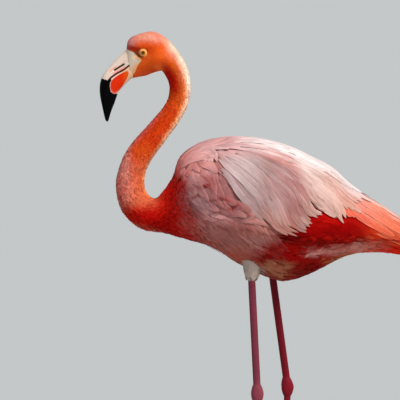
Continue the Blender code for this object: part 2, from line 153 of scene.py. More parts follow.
view = {
    "target": (-115.5, 0.0, 635.0),
    "distance": 6000.0,
    "rise": 6.0,  # degrees above the horizon
    "lens": 308.0,
    "sensor": 36.0,
    "clipEnd": 500.0,  # metres
}
light = {
    "sunFrom": (0.46, -0.50, 0.70),
    "sunPower": 3.4,
    "sunSoftness": 28.0,
    "sunColour": (1.0, 0.965, 0.91),
    "skyColour": (0.86, 0.92, 0.98),
    "skyPower": 0.50,
}
floorLook = {"half": 60.0, "colour": (0.45, 0.47, 0.48), "roughness": 0.85}  # metres


def makeCamera():
    rise = math.radians(view["rise"])
    target = Vector(view["target"]) * mm
    away = Vector((0.0, -math.cos(rise), math.sin(rise)))
    camera = newObject("camera", bpy.data.cameras.new("camera"))
    camera.data.sensor_width = view["sensor"]
    camera.data.lens = view["lens"]
    camera.data.clip_end = view["clipEnd"]
    camera.location = target + away * view["distance"] * mm
    camera.rotation_euler = (-away).to_track_quat("-Z", "Y").to_euler()
    bpy.context.scene.camera = camera


def makeLight():
    sun = newObject("sun", bpy.data.lights.new("sun", "SUN"))
    sun.data.energy = light["sunPower"]
    sun.data.angle = math.radians(light["sunSoftness"])
    sun.data.color = light["sunColour"]
    sun.rotation_euler = Vector(light["sunFrom"]).to_track_quat("Z", "Y").to_euler()
    world = bpy.data.worlds.new("studio")
    world.use_nodes = True
    sky = world.node_tree.nodes["Background"]
    sky.inputs["Color"].default_value = (*light["skyColour"], 1.0)
    sky.inputs["Strength"].default_value = light["skyPower"]
    bpy.context.scene.world = world
    bpy.context.scene.view_settings.view_transform = "Standard"


def newMaterial(name, **values):
    material = bpy.data.materials.new(name)
    material.use_nodes = True
    shader = material.node_tree.nodes["Principled BSDF"]
    for socket, value in values.items():
        shader.inputs[socket.replace("_", " ")].default_value = value
    return material, material.node_tree, shader


def node(tree, kind, **values):
    made = tree.nodes.new(kind)
    for key, value in values.items():
        setattr(made, key, value)
    return made


def link(tree, source, target):
    tree.links.new(source, target)


def maths(tree, operation, first, second=None, third=None):
    # a Math node; plain numbers go on its sockets, anything else is linked
    made = node(tree, "ShaderNodeMath", operation=operation)
    for i, value in enumerate((first, second, third)):
        if value is None:
            continue
        if isinstance(value, (int, float)):
            made.inputs[i].default_value = value
        else:
            link(tree, value, made.inputs[i])
    return made.outputs[0]


def mixColour(tree, factor, first, second, blend="MIX"):
    made = node(tree, "ShaderNodeMix", data_type="RGBA", blend_type=blend)
    for socket, value in ((made.inputs[0], factor), (made.inputs[6], first), (made.inputs[7], second)):
        if isinstance(value, (int, float)):
            socket.default_value = value
        elif isinstance(value, tuple):
            socket.default_value = (*value, 1.0)
        else:
            link(tree, value, socket)
    return made.outputs[2]


def attributeColour(tree, name):
    return node(tree, "ShaderNodeAttribute", attribute_name=name).outputs["Color"]


def addBump(tree, shader, height, strength, distance):
    bump = node(tree, "ShaderNodeBump")
    bump.inputs["Strength"].default_value = strength
    bump.inputs["Distance"].default_value = distance
    link(tree, height, bump.inputs["Height"])
    link(tree, bump.outputs[0], shader.inputs["Normal"])


def makeGroup(name, inputs, outputs):
    # inputs are names and values, outputs are names and kinds of socket
    group = bpy.data.node_groups.new(name, "ShaderNodeTree")
    for label, value in inputs.items():
        kind = "NodeSocketVector" if isinstance(value, tuple) else "NodeSocketFloat"
        group.interface.new_socket(label, in_out="INPUT", socket_type=kind).default_value = value
    for label, kind in outputs.items():
        group.interface.new_socket(label, in_out="OUTPUT", socket_type=kind)
    return group, group.nodes.new("NodeGroupInput"), group.nodes.new("NodeGroupOutput")


def groupNode(tree, group, **values):
    made = node(tree, "ShaderNodeGroup", node_tree=group)
    for label, value in values.items():
        made.inputs[label].default_value = value
    return made.outputs


def greyOf(tree, tone):
    made = node(tree, "ShaderNodeCombineColor")
    for socket in made.inputs[:3]:
        link(tree, tone, socket)
    return made.outputs[0]


def mottled(tree, colourName, shade):
    # the points' own colours times a grey
    return mixColour(tree, 1.0, attributeColour(tree, colourName), shade, "MULTIPLY")


def makeGrainGroup():
    # noise in the object's own space: as a height, and as a grey shade of height x amount + floor
    group, given, made = makeGroup(
        "grain",
        dict(Scale=500.0, Detail=3.0, Roughness=0.5, Stretch=(1.0, 1.0, 1.0), Amount=0.4, Floor=0.8),
        {"Height": "NodeSocketFloat", "Shade": "NodeSocketColor"},
    )
    mapping = node(group, "ShaderNodeMapping")
    link(group, node(group, "ShaderNodeTexCoord").outputs["Object"], mapping.inputs["Vector"])
    link(group, given.outputs["Stretch"], mapping.inputs["Scale"])
    noise = node(group, "ShaderNodeTexNoise")
    link(group, mapping.outputs[0], noise.inputs["Vector"])
    for label in ("Scale", "Detail", "Roughness"):
        link(group, given.outputs[label], noise.inputs[label])
    shade = maths(group, "MULTIPLY_ADD", noise.outputs[0], given.outputs["Amount"], given.outputs["Floor"])
    link(group, noise.outputs[0], made.inputs["Height"])
    link(group, greyOf(group, shade), made.inputs["Shade"])
    return group


barbLook = {
    "turn": 6.283, "waveHeight": 0.35, "squeeze": 0.5,
    "noiseSize": 0.9, "noiseDetail": 2.0,  # size in barbs
    "streakAlong": 0.045, "streakAcross": 0.42, "streakDetail": 3.0,  # streaks to a millimetre
}


def makeBarbGroup():
    # barbs run out from a feather's shaft at a slant: a wave over (along - slant x across), with noise in it
    group, given, made = makeGroup(
        "barbs",
        dict(Pitch=1.2, Slant=4.0, Clump=0.5, Streak=0.5),
        {"Height": "NodeSocketFloat", "Tone": "NodeSocketFloat"},
    )
    parts = node(group, "ShaderNodeSeparateXYZ")
    link(group, node(group, "ShaderNodeAttribute", attribute_name="vane").outputs["Vector"], parts.inputs[0])
    side, run, number = parts.outputs[:3]
    across = maths(group, "ABSOLUTE", side)
    along = maths(group, "SUBTRACT", run, maths(group, "MULTIPLY", across, given.outputs["Slant"]))

    def noiseAt(detail, *place):
        where = node(group, "ShaderNodeCombineXYZ")
        for value, socket in zip(place, where.inputs):
            link(group, value, socket)
        noise = node(group, "ShaderNodeTexNoise")
        noise.inputs["Detail"].default_value = detail
        noise.inputs["Scale"].default_value = 1.0
        link(group, where.outputs[0], noise.inputs["Vector"])
        return noise, noise.outputs[0]

    squeezed = maths(group, "MULTIPLY", across, barbLook["squeeze"])
    noise, fine = noiseAt(barbLook["noiseDetail"], along, squeezed, number)
    link(group, maths(group, "DIVIDE", barbLook["noiseSize"], given.outputs["Pitch"]), noise.inputs["Scale"])
    waves = maths(group, "DIVIDE", maths(group, "MULTIPLY", along, barbLook["turn"]), given.outputs["Pitch"])
    wave = maths(group, "MULTIPLY", maths(group, "SINE", waves), barbLook["waveHeight"])
    link(group, maths(group, "ADD", wave, fine), made.inputs["Height"])
    clumps = maths(group, "MULTIPLY_ADD", maths(group, "SUBTRACT", fine, 0.5), given.outputs["Clump"], 1.0)
    longRun, longSide = (maths(group, "MULTIPLY", value, barbLook[key])
                         for value, key in ((run, "streakAlong"), (side, "streakAcross")))
    streak = noiseAt(barbLook["streakDetail"], longRun, longSide, number)[1]
    streak = maths(group, "SUBTRACT", streak, 0.5)
    link(group, maths(group, "MULTIPLY_ADD", streak, given.outputs["Streak"], clumps), made.inputs["Tone"])
    return group


def makeFloor():
    half = floorLook["half"]
    corners = np.array([(-half, -half, 0), (half, -half, 0), (half, half, 0), (-half, half, 0)]) / mm
    mesh = buildMesh("floor", corners, np.arange(4)[None, :])
    colour = (*floorLook["colour"], 1.0)
    mesh.materials.append(newMaterial("floorPaint", Base_Color=colour, Roughness=floorLook["roughness"])[0])
    floor = newObject("floor", mesh)


makeCamera()
makeLight()
makeFloor()
print("camera, light and floor made")

# the body's form, with the same lengths and sections as the solids
bodyForm = {
    # back edge x, z, belly edge x, z, half width, egg; egg > 0 is wider towards the back edge
    "head": [
        (-243.8, 899.0, -233.5, 849.0, 14.0, 0.10),
        (-241.2, 914.0, -224.0, 851.0, 17.5, 0.16),
        (-219.5, 927.0, -210.0, 853.5, 21.5, 0.20),
        (-192.5, 929.5, -196.0, 859.0, 23.0, 0.14),
        (-170.0, 915.0, -184.5, 862.0, 21.0, 0.06),
    ],
    "neckStart": (-163.0, 872.0),
    "neckHeading": -56.0,
    "neckBends": [(93.0, -72.0), (77.0, -1.5), (69.0, 38.0), (86.0, 102.0)],  # length, turn in degrees
    "neckSteps": 3,
    "fineSteps": 12,  # the neck's line is walked in this many steps between two rows
    "neckHalf": [(0.0, 21.0), (0.10, 18.6), (0.20, 18.3), (0.52, 22.3), (0.76, 26.0), (1.0, 38.0)],
    # taken off the back half
    "neckCrook": [(0.0, 0.0), (0.735, 0.0), (0.823, 3.0), (0.912, 8.0), (1.0, 7.0)],
    "neckWidth": [(0.0, 19.0), (0.12, 17.0), (0.52, 20.5), (0.76, 24.0), (1.0, 33.0)],
    # back edge x, z, belly edge x, z, half width over the wings, roof; roof > 1 draws the top to a ridge
    "trunk": [
        (-166.8, 671.5, -157.5, 570.5, 45.0, 1.0),
        (-154.0, 707.0, -129.5, 562.0, 66.0, 1.0),
        (-124.0, 732.5, -98.0, 553.0, 87.0, 1.0),
        (-77.0, 746.0, -59.5, 530.0, 101.0, 1.0),
        (-19.0, 745.0, -14.0, 506.0, 106.0, 1.0),
        (33.0, 731.0, 33.0, 492.0, 101.0, 1.05),
        (77.0, 711.5, 80.5, 506.0, 88.0, 1.1),
        (119.0, 688.0, 127.5, 531.0, 73.0, 1.15),
        (147.0, 662.0, 150.5, 539.0, 62.0, 1.2),
        (199.5, 628.5, 199.5, 542.5, 43.0, 1.25),
        (252.0, 592.0, 252.0, 537.0, 27.0, 1.25),
        (287.0, 556.0, 287.0, 536.0, 13.5, 1.2),
        (299.0, 545.5, 299.0, 540.5, 4.0, 1.1),
    ],
    # below the wings: x, inset of each side
    "underWing": [(-180.0, 0.0), (-124.0, 7.0), (-19.0, 10.0), (33.0, 10.0), (77.0, 12.0), (121.0, 17.0),
                  (147.0, 19.0), (199.5, 12.0), (252.0, 4.0), (299.0, 0.0)],
    # the folded wing's lower edge: x, height, and how softly the flank runs into it
    "wingEdge": [(-146.0, 645.0, 60.0), (-112.0, 592.0, 50.0), (-70.0, 579.0, 45.0), (0.0, 573.0, 40.0),
                 (50.0, 573.0, 14.0), (95.0, 567.0, 6.0), (186.0, 565.0, 5.0), (235.0, 560.0, 4.0),
                 (299.0, 543.0, 4.0)],
}
gridSize = (900, 240)  # how finely the form is tabled along and around


def bodyRows():
    rows = [(*row, 1.0) for row in bodyForm["head"]]
    total = sum(length for length, turn in bodyForm["neckBends"])
    x, z = bodyForm["neckStart"]
    heading, run, fine = math.radians(bodyForm["neckHeading"]), 0.0, bodyForm["fineSteps"]
    neck = [(0.0, x, z, heading)]
    for length, turn in bodyForm["neckBends"]:
        count = bodyForm["neckSteps"] * fine
        for i in range(count):
            heading += math.radians(turn) / count / 2
            x, z = x + length / count * math.cos(heading), z + length / count * math.sin(heading)
            heading += math.radians(turn) / count / 2
            run += length / count
            if (i + 1) % fine == 0:
                neck.append((run / total, x, z, heading))
    for share, x, z, heading in neck:
        half = smoothRows(*zip(*bodyForm["neckHalf"]), share)[0, 0]
        width = smoothRows(*zip(*bodyForm["neckWidth"]), share)[0, 0]
        back = half - float(np.interp(share, *zip(*bodyForm["neckCrook"])))
        upX, upZ = -math.sin(heading), math.cos(heading)
        rows.append((x + upX * back, z + upZ * back, x - upX * half, z - upZ * half, width, 0.0, 1.0))
    rows += [(*row[:5], 0.0, row[5]) for row in bodyForm["trunk"]]
    rows = np.array(rows)
    middles = (rows[:, 0:2] + rows[:, 2:4]) / 2
    places = np.concatenate([[0.0], np.cumsum(np.linalg.norm(np.diff(middles, axis=0), axis=1))])
    first = len(bodyForm["head"])
    return places, rows, places[first], places[first + len(neck) - 1]


bodyPlaces, bodyTable, neckStartPlace, neckEndPlace = bodyRows()
bodyLength = bodyPlaces[-1]


def nearLine(x, z, line):
    # how far each side-view point lies from a segment, and its share of the way along it
    startX, startZ, endX, endZ = line[:4]
    dx, dz = endX - startX, endZ - startZ
    t = np.clip(((x - startX) * dx + (z - startZ) * dz) / (dx * dx + dz * dz), 0, 1)
    return np.hypot(x - startX - t * dx, z - startZ - t * dz), t


headRelief = {
    "eye": (-214.5, 894.8),
    "socket": (7.6, 1.6, 1.6),  # reach, depth, width of its edge
    "brow": ((-213.0, 905.0), (13.0, 3.4), 0.9),  # middle, reach, height
    "cheek": ((-196.0, 880.0), (17.0, 15.0), 1.3),
    "lore": ((-226.0, 889.0), (7.0, 4.0), -1.0),
}


def headSculpt(x, z):
    # height added to the head along its normal: a hollow for the eye, and soft rises and dips of the
    # form height x exp(-(dx/a)^2 - (dz/b)^2)
    reach, depth, edge = headRelief["socket"]
    grow = -depth * ease((reach - np.hypot(x - headRelief["eye"][0], z - headRelief["eye"][1])) / edge)
    for middle, size, height in (headRelief["brow"], headRelief["cheek"], headRelief["lore"]):
        grow = grow + height * np.exp(-(((x - middle[0]) / size[0]) ** 2) - ((z - middle[1]) / size[1]) ** 2)
    return grow


def withSlopes(points, places, angles):
    # a table's points with their normals and their steps along and around
    alongStep = np.gradient(points, places, axis=0)
    aroundStep = (np.roll(points, -1, 1) - np.roll(points, 1, 1)) / (2 * (angles[1] - angles[0]))
    return np.concatenate([points, unit(np.cross(alongStep, aroundStep)), alongStep, aroundStep], axis=-1)


def tableForm():
    # Each section is an ellipse: middle + half height x cos(angle) up, half width x sin(angle) ^ roof
    # across. The angle runs from the back edge (0) down the +Y side to the belly (pi) and up the -Y side.
    places = np.linspace(0, bodyLength, gridSize[0])
    angles = turnAngles(gridSize[1])
    backX, backZ, bellyX, bellyZ, width, egg, roof = smoothRows(bodyPlaces, bodyTable, places).T[:, :, None]
    cosine, sine = np.cos(angles)[None, :], np.sin(angles)[None, :]
    x = (backX + bellyX) / 2 + (backX - bellyX) / 2 * cosine
    z = (backZ + bellyZ) / 2 + (backZ - bellyZ) / 2 * cosine
    middle = ((backX + bellyX) / 2)[:, 0]
    inset = smoothRows(*zip(*bodyForm["underWing"]), middle)
    edge = smoothRows([e[0] for e in bodyForm["wingEdge"]], [e[1:] for e in bodyForm["wingEdge"]], middle)
    covered = ease((z - edge[:, :1]) / edge[:, 1:] + 0.5)
    onTrunk = (places > neckEndPlace)[:, None] * np.ones_like(z)
    inset = inset * (1 - covered) * onTrunk * np.clip(np.abs(sine) * 1.4, 0, 1)
    spread = np.abs(sine) ** np.where(cosine > 0, roof, 1.0) * np.sign(sine)
    y = (width - inset) * spread * (1 + egg * cosine)
    points = np.stack([x, y, z], axis=-1)
    normals = withSlopes(points, places, angles)[..., 3:6]
    onHead = ease((neckStartPlace + 10 - places) / 20)[:, None]
    return withSlopes(points + normals * (headSculpt(x, z) * onHead)[..., None], places, angles)


bodyShape = {"table": tableForm(), "length": bodyLength}


def readForm(form, place, angle):
    # between the table's points, and straight on past its end: point, normal, steps along and around
    table, (rows, columns) = form["table"], form["table"].shape[:2]
    inside = np.clip(place, 0, form["length"])
    u = inside / form["length"] * (rows - 1)
    i = np.minimum(u.astype(int), rows - 2)
    v = (angle / (2 * math.pi)) % 1.0 * columns
    j = v.astype(int) % columns
    k = (j + 1) % columns
    u, v = (u - i)[..., None], (v - np.floor(v))[..., None]
    here = table[i, j] * (1 - v) + table[i, k] * v
    beyond = table[i + 1, j] * (1 - v) + table[i + 1, k] * v
    read = here * (1 - u) + beyond * u
    point, normal, along, around = read[..., 0:3], unit(read[..., 3:6]), read[..., 6:9], read[..., 9:12]
    return point + along * (place - inside)[..., None], normal, along, around


def placeAtX(x):
    # the place along the trunk where the section's middle has this x
    places = np.linspace(neckEndPlace, bodyLength, 400)
    rows = smoothRows(bodyPlaces, bodyTable, places)
    return np.interp(x, (rows[:, 0] + rows[:, 2]) / 2, places)


# how deep the skin lies under the tips of the coat, by place along the body
coatDepth = {
    "stations": [0.0, 14.0, 30.0, neckStartPlace, neckStartPlace + 160.0, neckEndPlace,
                 *(placeAtX(x) for x in (-120.0, -60.0, 120.0, 200.0, 282.0)), bodyLength],
    "depths": [0.15, 0.5, 1.1, 1.6, 2.2, 4.0, 6.5, 8.0, 8.0, 7.0, 5.0, 1.5],
}


def depthAt(place):
    return np.interp(place, coatDepth["stations"], coatDepth["depths"])


bodyShape["depth"] = depthAt


# painted shade along the creases under the coverts' lobes, whose lines also raise the lobes, on the side
# view: x, height at each end, strength
creases = [
    (-138.0, 652.0, -113.0, 657.0, 0.6), (-113.0, 657.0, -101.0, 661.0, 1.0),
    (-109.0, 677.0, -96.0, 669.0, 0.6),
    (-132.0, 639.0, -113.0, 643.0, 0.9), (-99.0, 633.0, -80.0, 637.0, 0.8), (-80.0, 637.0, -67.0, 633.0, 1.0),
    (-66.0, 621.0, -50.0, 625.0, 1.0), (-50.0, 624.0, -31.0, 608.0, 0.8), (-99.0, 611.0, -79.0, 613.0, 0.6),
    (-133.0, 631.0, -128.0, 605.0, 0.8), (-84.0, 589.0, -66.0, 581.0, 0.7), (-38.0, 586.0, -26.0, 581.0, 0.7),
    (-108.0, 596.0, -98.0, 575.0, 0.7), (-4.0, 578.0, 30.0, 566.0, 0.8), (-70.0, 566.0, -40.0, 548.0, 0.5),
]
# colour and strength of the painted crease shade, then the lobes' relief
creaseLook = {
    "colour": (0.22, 0.016, 0.013), "strength": 0.85, "front": -150, "reach": 2.4,
    "above": 8.0, "below": 3.0, "dip": -0.5,  # how the lobe falls off upwards and the dip downwards
}


def creaseAt(x, z):
    # how strongly a place takes the painted crease shade, exp(-(distance / reach)^2), and how high the lobe
    # above the crease stands
    dark, raised = 0 * x, 0 * x
    for line in creases:
        far, share = nearLine(x, z, line)
        above = z > line[1] + share * (line[3] - line[1])
        dark = np.maximum(dark, line[4] * np.exp(-((far / creaseLook["reach"]) ** 2)))
        lobe, dip = np.exp(-far / creaseLook["above"]), creaseLook["dip"] * np.exp(-far / creaseLook["below"])
        bump = line[4] * np.where(above, lobe, dip)
        raised = np.where(np.abs(bump) > np.abs(raised), bump, raised)
    return dark, raised


viewFall = 0.107  # the side view is taken from a little above: heights read lower by this share of |y|


def seenHeight(points):
    return points[..., 2] - viewFall * np.abs(points[..., 1])


# The markings, which the skin and the coat share. Each wash is a soft ellipse on the side view: middle
# x, z, reach, turn in degrees, colour, softness, strength. Later washes lie over earlier ones.
bodyPink = (0.45, 0.15, 0.125)
washes = {
    "hindBody": ((200, 600), (150, 90), 0, (0.68, 0.16, 0.08), 0.35, 1.0),
    "neck": ((-200, 740), (62, 150), 0, (0.62, 0.066, 0.008), 0.15, 1.0),
    "neckFoot": ((-215, 640), (58, 62), 0, (0.60, 0.12, 0.050), 0.35, 1.0),
    "head": ((-205, 890), (64, 52), 0, (0.92, 0.125, 0.014), 0.12, 1.0),
    "crown": ((-196, 924), (40, 15), 0, (0.87, 0.35, 0.245), 0.6, 0.95),
    "forehead": ((-240, 912), (15, 15), 0, (0.62, 0.22, 0.20), 0.5, 0.95),
    "crownSide": ((-206, 902), (22, 10), 0, (0.71, 0.070, 0.006), 0.8, 0.85),
    "foreheadShade": ((-230, 899), (14, 5.5), -20, (0.28, 0.014, 0.003), 0.6, 0.97),
    "loreShade": ((-223.5, 890.0), (9.5, 4.2), -38, (0.16, 0.045, 0.008), 0.6, 0.92),
    "throat": ((-205, 857), (34, 7), 8, (0.74, 0.08, 0.025), 0.6, 0.7),
    "throatBack": ((-182, 867), (12, 8), 0, (0.98, 0.165, 0.030), 0.7, 0.95),
    "neckUpper": ((-153, 838), (13, 40), 10, (0.52, 0.085, 0.005), 0.7, 0.85),
    "neckInner": ((-166, 846), (11, 28), 22, (0.42, 0.005, 0.002), 0.6, 0.97),
    # painted highlight on the lit nape
    "nape": ((-156, 900), (16, 16), 45, (0.85, 0.46, 0.33), 0.8, 0.6),
    "neckMiddle": ((-187, 757), (30, 44), 38, (0.54, 0.036, 0.003), 0.7, 0.9),
    # painted sky reflection down the front rim of the neck
    "neckFront": ((-251, 684), (15, 62), 0, (0.66, 0.23, 0.18), 0.7, 0.85),
    "neckFrontLow": ((-252, 652), (14, 26), 0, (0.64, 0.15, 0.105), 0.7, 0.8),
    "neckFrontUpper": ((-217, 757), (46, 8), 49, (0.60, 0.14, 0.12), 0.7, 0.7),
    "neckUnder": ((-205, 603), (64, 19), -8, (0.47, 0.003, 0.001), 0.6, 0.98),
    "breast": ((-146, 588), (62, 36), -28, (0.38, 0.001, 0.001), 0.45, 0.98),
    "neckCleft": ((-168, 648), (17, 40), -12, (0.85, 0.012, 0.006), 0.7, 0.97),
    "breastSide": ((-152, 634), (20, 62), -8, (0.50, 0.006, 0.004), 0.5, 0.97),
    "coverts": ((-88, 636), (56, 66), 0, (0.37, 0.145, 0.142), 0.35, 0.95),
    "covertsLow": ((-126, 592), (24, 19), -20, (0.47, 0.055, 0.040), 0.6, 0.9),
    "covertsTop": ((-112, 664), (24, 19), 15, (0.33, 0.085, 0.083), 0.7, 0.85),
    "covertsFoot": ((-86, 594), (28, 20), -20, (0.74, 0.30, 0.28), 0.6, 0.95),
    # painted shade in the gaps between the covert lobes
    "gapShadeUpper": ((-103, 660), (5, 3.2), 20, (0.34, 0.012, 0.010), 0.5, 0.97),
    "gapShadeLower": ((-57, 621.5), (5, 3.2), 30, (0.20, 0.005, 0.004), 0.5, 0.97),
    "shoulder": ((-130, 702), (30, 32), 30, (0.78, 0.32, 0.30), 0.5, 0.9),
    "mantle": ((-60, 735), (90, 24), -4, (0.62, 0.34, 0.335), 0.5, 0.95),
    "flank": ((-40, 553), (74, 34), -20, (0.42, 0.125, 0.100), 0.4, 0.95),
    "bellyFront": ((-60, 528), (60, 14), -22, (0.38, 0.085, 0.060), 0.6, 0.8),
    "flankFoot": ((-38, 532), (26, 14), -20, (0.40, 0.085, 0.045), 0.6, 0.8),
    "vent": ((70, 532), (100, 50), 8, (0.23, 0.0008, 0.0008), 0.25, 1.0),
    "ventOchre": ((20, 514), (30, 13), -8, (0.42, 0.14, 0.070), 0.6, 0.9),
    "ventDeep": ((68, 514), (30, 12), 12, (0.17, 0.001, 0.0006), 0.6, 0.97),
    "ventEdge": ((144, 534), (38, 5), 12, (0.60, 0.17, 0.05), 0.6, 0.85),
    "ventPale": ((106, 548), (36, 11), 6, (0.66, 0.32, 0.28), 0.5, 0.95),
    "underTail": ((160, 551), (56, 10), 4, (0.72, 0.30, 0.24), 0.6, 0.95),
    "tailLow": ((245, 546), (60, 18), 8, (0.92, 0.012, 0.002), 0.6, 0.98),
    "crimson": ((108, 588), (88, 38), 4, (0.30, 0.002, 0.001), 0.25, 1.0),
    "hindEdge": ((215, 568), (70, 13), -12, (0.68, 0.05, 0.015), 0.6, 0.7),
    "thigh": ((-24, 508), (14, 14), 0, (0.46, 0.345, 0.29), 0.5, 0.95),
}


# painted highlight down the sunlit back of the neck: place from the neck's start, reach in from the edge,
# strength
neckRimHighlight = {
    "stops": [(-34.0, 12.0, 0.0), (-12.0, 18.0, 0.95), (30.0, 17.0, 0.95), (90.0, 15.0, 0.95),
              (140.0, 11.0, 0.85), (200.0, 8.0, 0.7), (270.0, 6.0, 0.5), (320.0, 4.0, 0.0)],
    "span": (-30, 320), "samples": 140, "softness": 0.9,
    # colours by height: where the painted highlight begins, and its palest edge
    "heights": [750.0, 790.0, 835.0, 860.0],
    "between": [(0.80, 0.22, 0.06), (0.80, 0.22, 0.06), (0.80, 0.22, 0.06), (0.90, 0.36, 0.23)],
    "colours": [(0.94, 0.52, 0.30), (0.96, 0.62, 0.40), (0.92, 0.72, 0.54), (0.90, 0.70, 0.52)],
}


def tonesAlong(stops, tones, places):
    return np.stack([np.interp(places, stops, np.array(tones)[:, c]) for c in range(3)], axis=1)


# painted highlight along the lit top of the back
ridgeHighlight = (0.74, 0.62, 0.61)  # along the top of the back


def ridgeZ(x):
    # height of the back's edge above a place on the trunk
    rows = bodyTable[-len(bodyForm["trunk"]):]
    return np.interp(x, rows[:, 0], rows[:, 1])


def rimHighlightWeight(x, z):
    # the painted highlight's weight, by the distance to the nearest of many points along the back's edge on
    # the side view
    start, end = neckRimHighlight["span"]
    places = np.linspace(neckStartPlace + start, neckStartPlace + end, neckRimHighlight["samples"])
    rows = smoothRows(bodyPlaces, bodyTable, places)
    stops, reaches, strengths = np.array(neckRimHighlight["stops"]).T
    reach, strength = (np.interp(places - neckStartPlace, stops, v) for v in (reaches, strengths))
    weight = 0 * x
    for (edgeX, edgeZ), far, most in zip(rows[:, :2], reach, strength):
        near = far - np.hypot(x - edgeX, z - edgeZ)
        weight = np.maximum(weight, most * ease(near / (far * neckRimHighlight["softness"])))
    return weight


def washColour(points):
    colours = np.tile(np.array(bodyPink), (len(points), 1))
    height = seenHeight(points)
    for middle, reach, turn, colour, softness, strength in washes.values():
        x, z = points[:, 0] - middle[0], height - middle[1]
        c, s = math.cos(math.radians(turn)), math.sin(math.radians(turn))
        far = np.hypot((x * c + z * s) / reach[0], (z * c - x * s) / reach[1])
        colours = blend(colours, strength * ease((1 + softness - far) / (2 * softness)), colour)
    x = points[:, 0]
    # painted shade along the creases under the covert lobes
    dark = creaseAt(x, height)[0] * (x > creaseLook["front"])
    colours = blend(colours, creaseLook["strength"] * dark, creaseLook["colour"])
    # painted highlight on the lit back edge of the neck
    rim = rimHighlightWeight(x, points[:, 2])
    for tones, gain, late in (("between", 2.2, 0.0), ("colours", 1.8, 0.7)):
        toned = tonesAlong(neckRimHighlight["heights"], neckRimHighlight[tones], height)
        colours = blend(colours, ease(rim * gain - late), toned)
    # painted highlight along the top of the back
    ridge = ease((height - ridgeZ(x) + 26) / 22) * ease((x + 80) / 70) * ease((215 - x) / 90)
    return blend(colours, ridge * (height > 600) * 0.9, ridgeHighlight)


plainFeather = dict(
    # where the roots are, and how far each feather runs
    where=lambda x, z, deg: x < 1e9, share=1.0, sizeBy=lambda place: 1.0 + 0 * place,
    lengthBy=lambda x, z: 1.0 + 0 * x,
    # the line that the tips run out to, how far they stray over it, and how far before it the roots end
    stop=None, plainHeight=False, fineStop=False, stray=2.5, room=-6.0, least=0.22,
    # the lie: level means by the dip on the side view; wave and eddies bend it
    level=False, wave=0.0, eddies=(25.0, 30.0, 16.0),
    # the form: share of the coat's depth at the root, rise towards the tip, roll, tiling, camber
    deep=0.9, liftBy=lambda x, z: 0 * x, relief=0.0, rise=0.5, curl=0.0, roll=5.0, tile=0.0, root=0.16,
    ragged=0.0, camber=0.12, thick=1.0,
    # the colour: jitter of the place it is read at, the share held from the root, paler and redder
    # feathers, locks of both, its tone, the shade from root to tip
    paint=washColour, jitter=3.0, held=0.05, deepRed=(0.50, 0.010, 0.004), pale=0.1, red=0.1,
    locks=(20.0, 30.0, 9.0), lockPale=0.0, lockRed=0.0, lockLift=0.0, tone=0.06, shade=(0.72, 1.06),
    redRoot=0.0, edgePale=0.0,
)
ridgeReach = 0.25  # how near the ridge, as the sine of the angle, the feathers' lean and roll change side


def heightIn(tract, points):
    return points[..., 2] if tract["plainHeight"] else seenHeight(points)


def rootPlaces(form, tract, rng):
    # rows along the body, staggered, with even spacing round each row and a little disorder
    start, end = tract["span"]
    rowGap, gap = tract["gaps"]
    places, angles = [], []
    fine = np.linspace(-math.pi, math.pi, 361)
    rows = [start]
    while rows[-1] < end:
        rows.append(rows[-1] + rowGap * float(tract["sizeBy"](rows[-1])))
    for number, place in enumerate(rows):
        ring = readForm(form, np.full(len(fine), place), fine)[0]
        run = np.concatenate([[0], np.cumsum(np.linalg.norm(np.diff(ring, axis=0), axis=1))])
        count = max(4, int(run[-1] / (gap * float(tract["sizeBy"](place)))))
        at = (np.arange(count) + 0.5 * (number % 2) + rng.uniform(-0.3, 0.3, count)) / count * run[-1]
        angles.append(np.interp(at % run[-1], run, fine))
        places.append(place + rng.uniform(-0.4, 0.4, count) * rowGap)
    place, angle = np.concatenate(places), np.concatenate(angles)
    points = readForm(form, place, angle)[0]
    x, z = points[:, 0], heightIn(tract, points)
    keep = tract["where"](x, z, np.degrees(np.abs(angle)))
    if tract["stop"]:
        keep = keep & (tract["stop"](x, z) < tract["room"])
    thinned = rng.uniform(0, 1, len(place)) < tract["share"]
    return place[keep & thinned], angle[keep & thinned]


def streakField(seed, dip, longSize, wideSize):
    # smooth and random, from -1 to 1, in streaks that lie at the dip: tanh of a sum of cosines of waves
    rng = np.random.default_rng(seed)
    waves = rng.normal(0, 1, (14, 3)) / np.array([longSize, wideSize, wideSize * 2])
    phases = rng.uniform(0, 2 * math.pi, 14)
    c, s = math.cos(math.radians(dip)), math.sin(math.radians(dip))

    def read(points):
        u, v = points[:, 0] * c - points[:, 2] * s, points[:, 0] * s + points[:, 2] * c
        where = np.stack([u, v, points[:, 1]], axis=1)
        return np.tanh(np.cos(where @ waves.T + phases).sum(axis=1) / 2.2)

    return read


vaneSections = {
    # across (share of half width) and height (mm) of each point round a feather's section
    "fine": [(-1.0, 0.0), (0.0, 0.25), (1.0, 0.0)],
    "plain": [(-1.0, 0.0), (0.0, 0.28), (1.0, 0.0), (0.0, -0.15)],
    "broad": [(-1.0, 0.0), (-0.5, 0.16), (0.0, 0.34), (0.5, 0.16), (1.0, 0.0), (0.0, -0.2)],
}


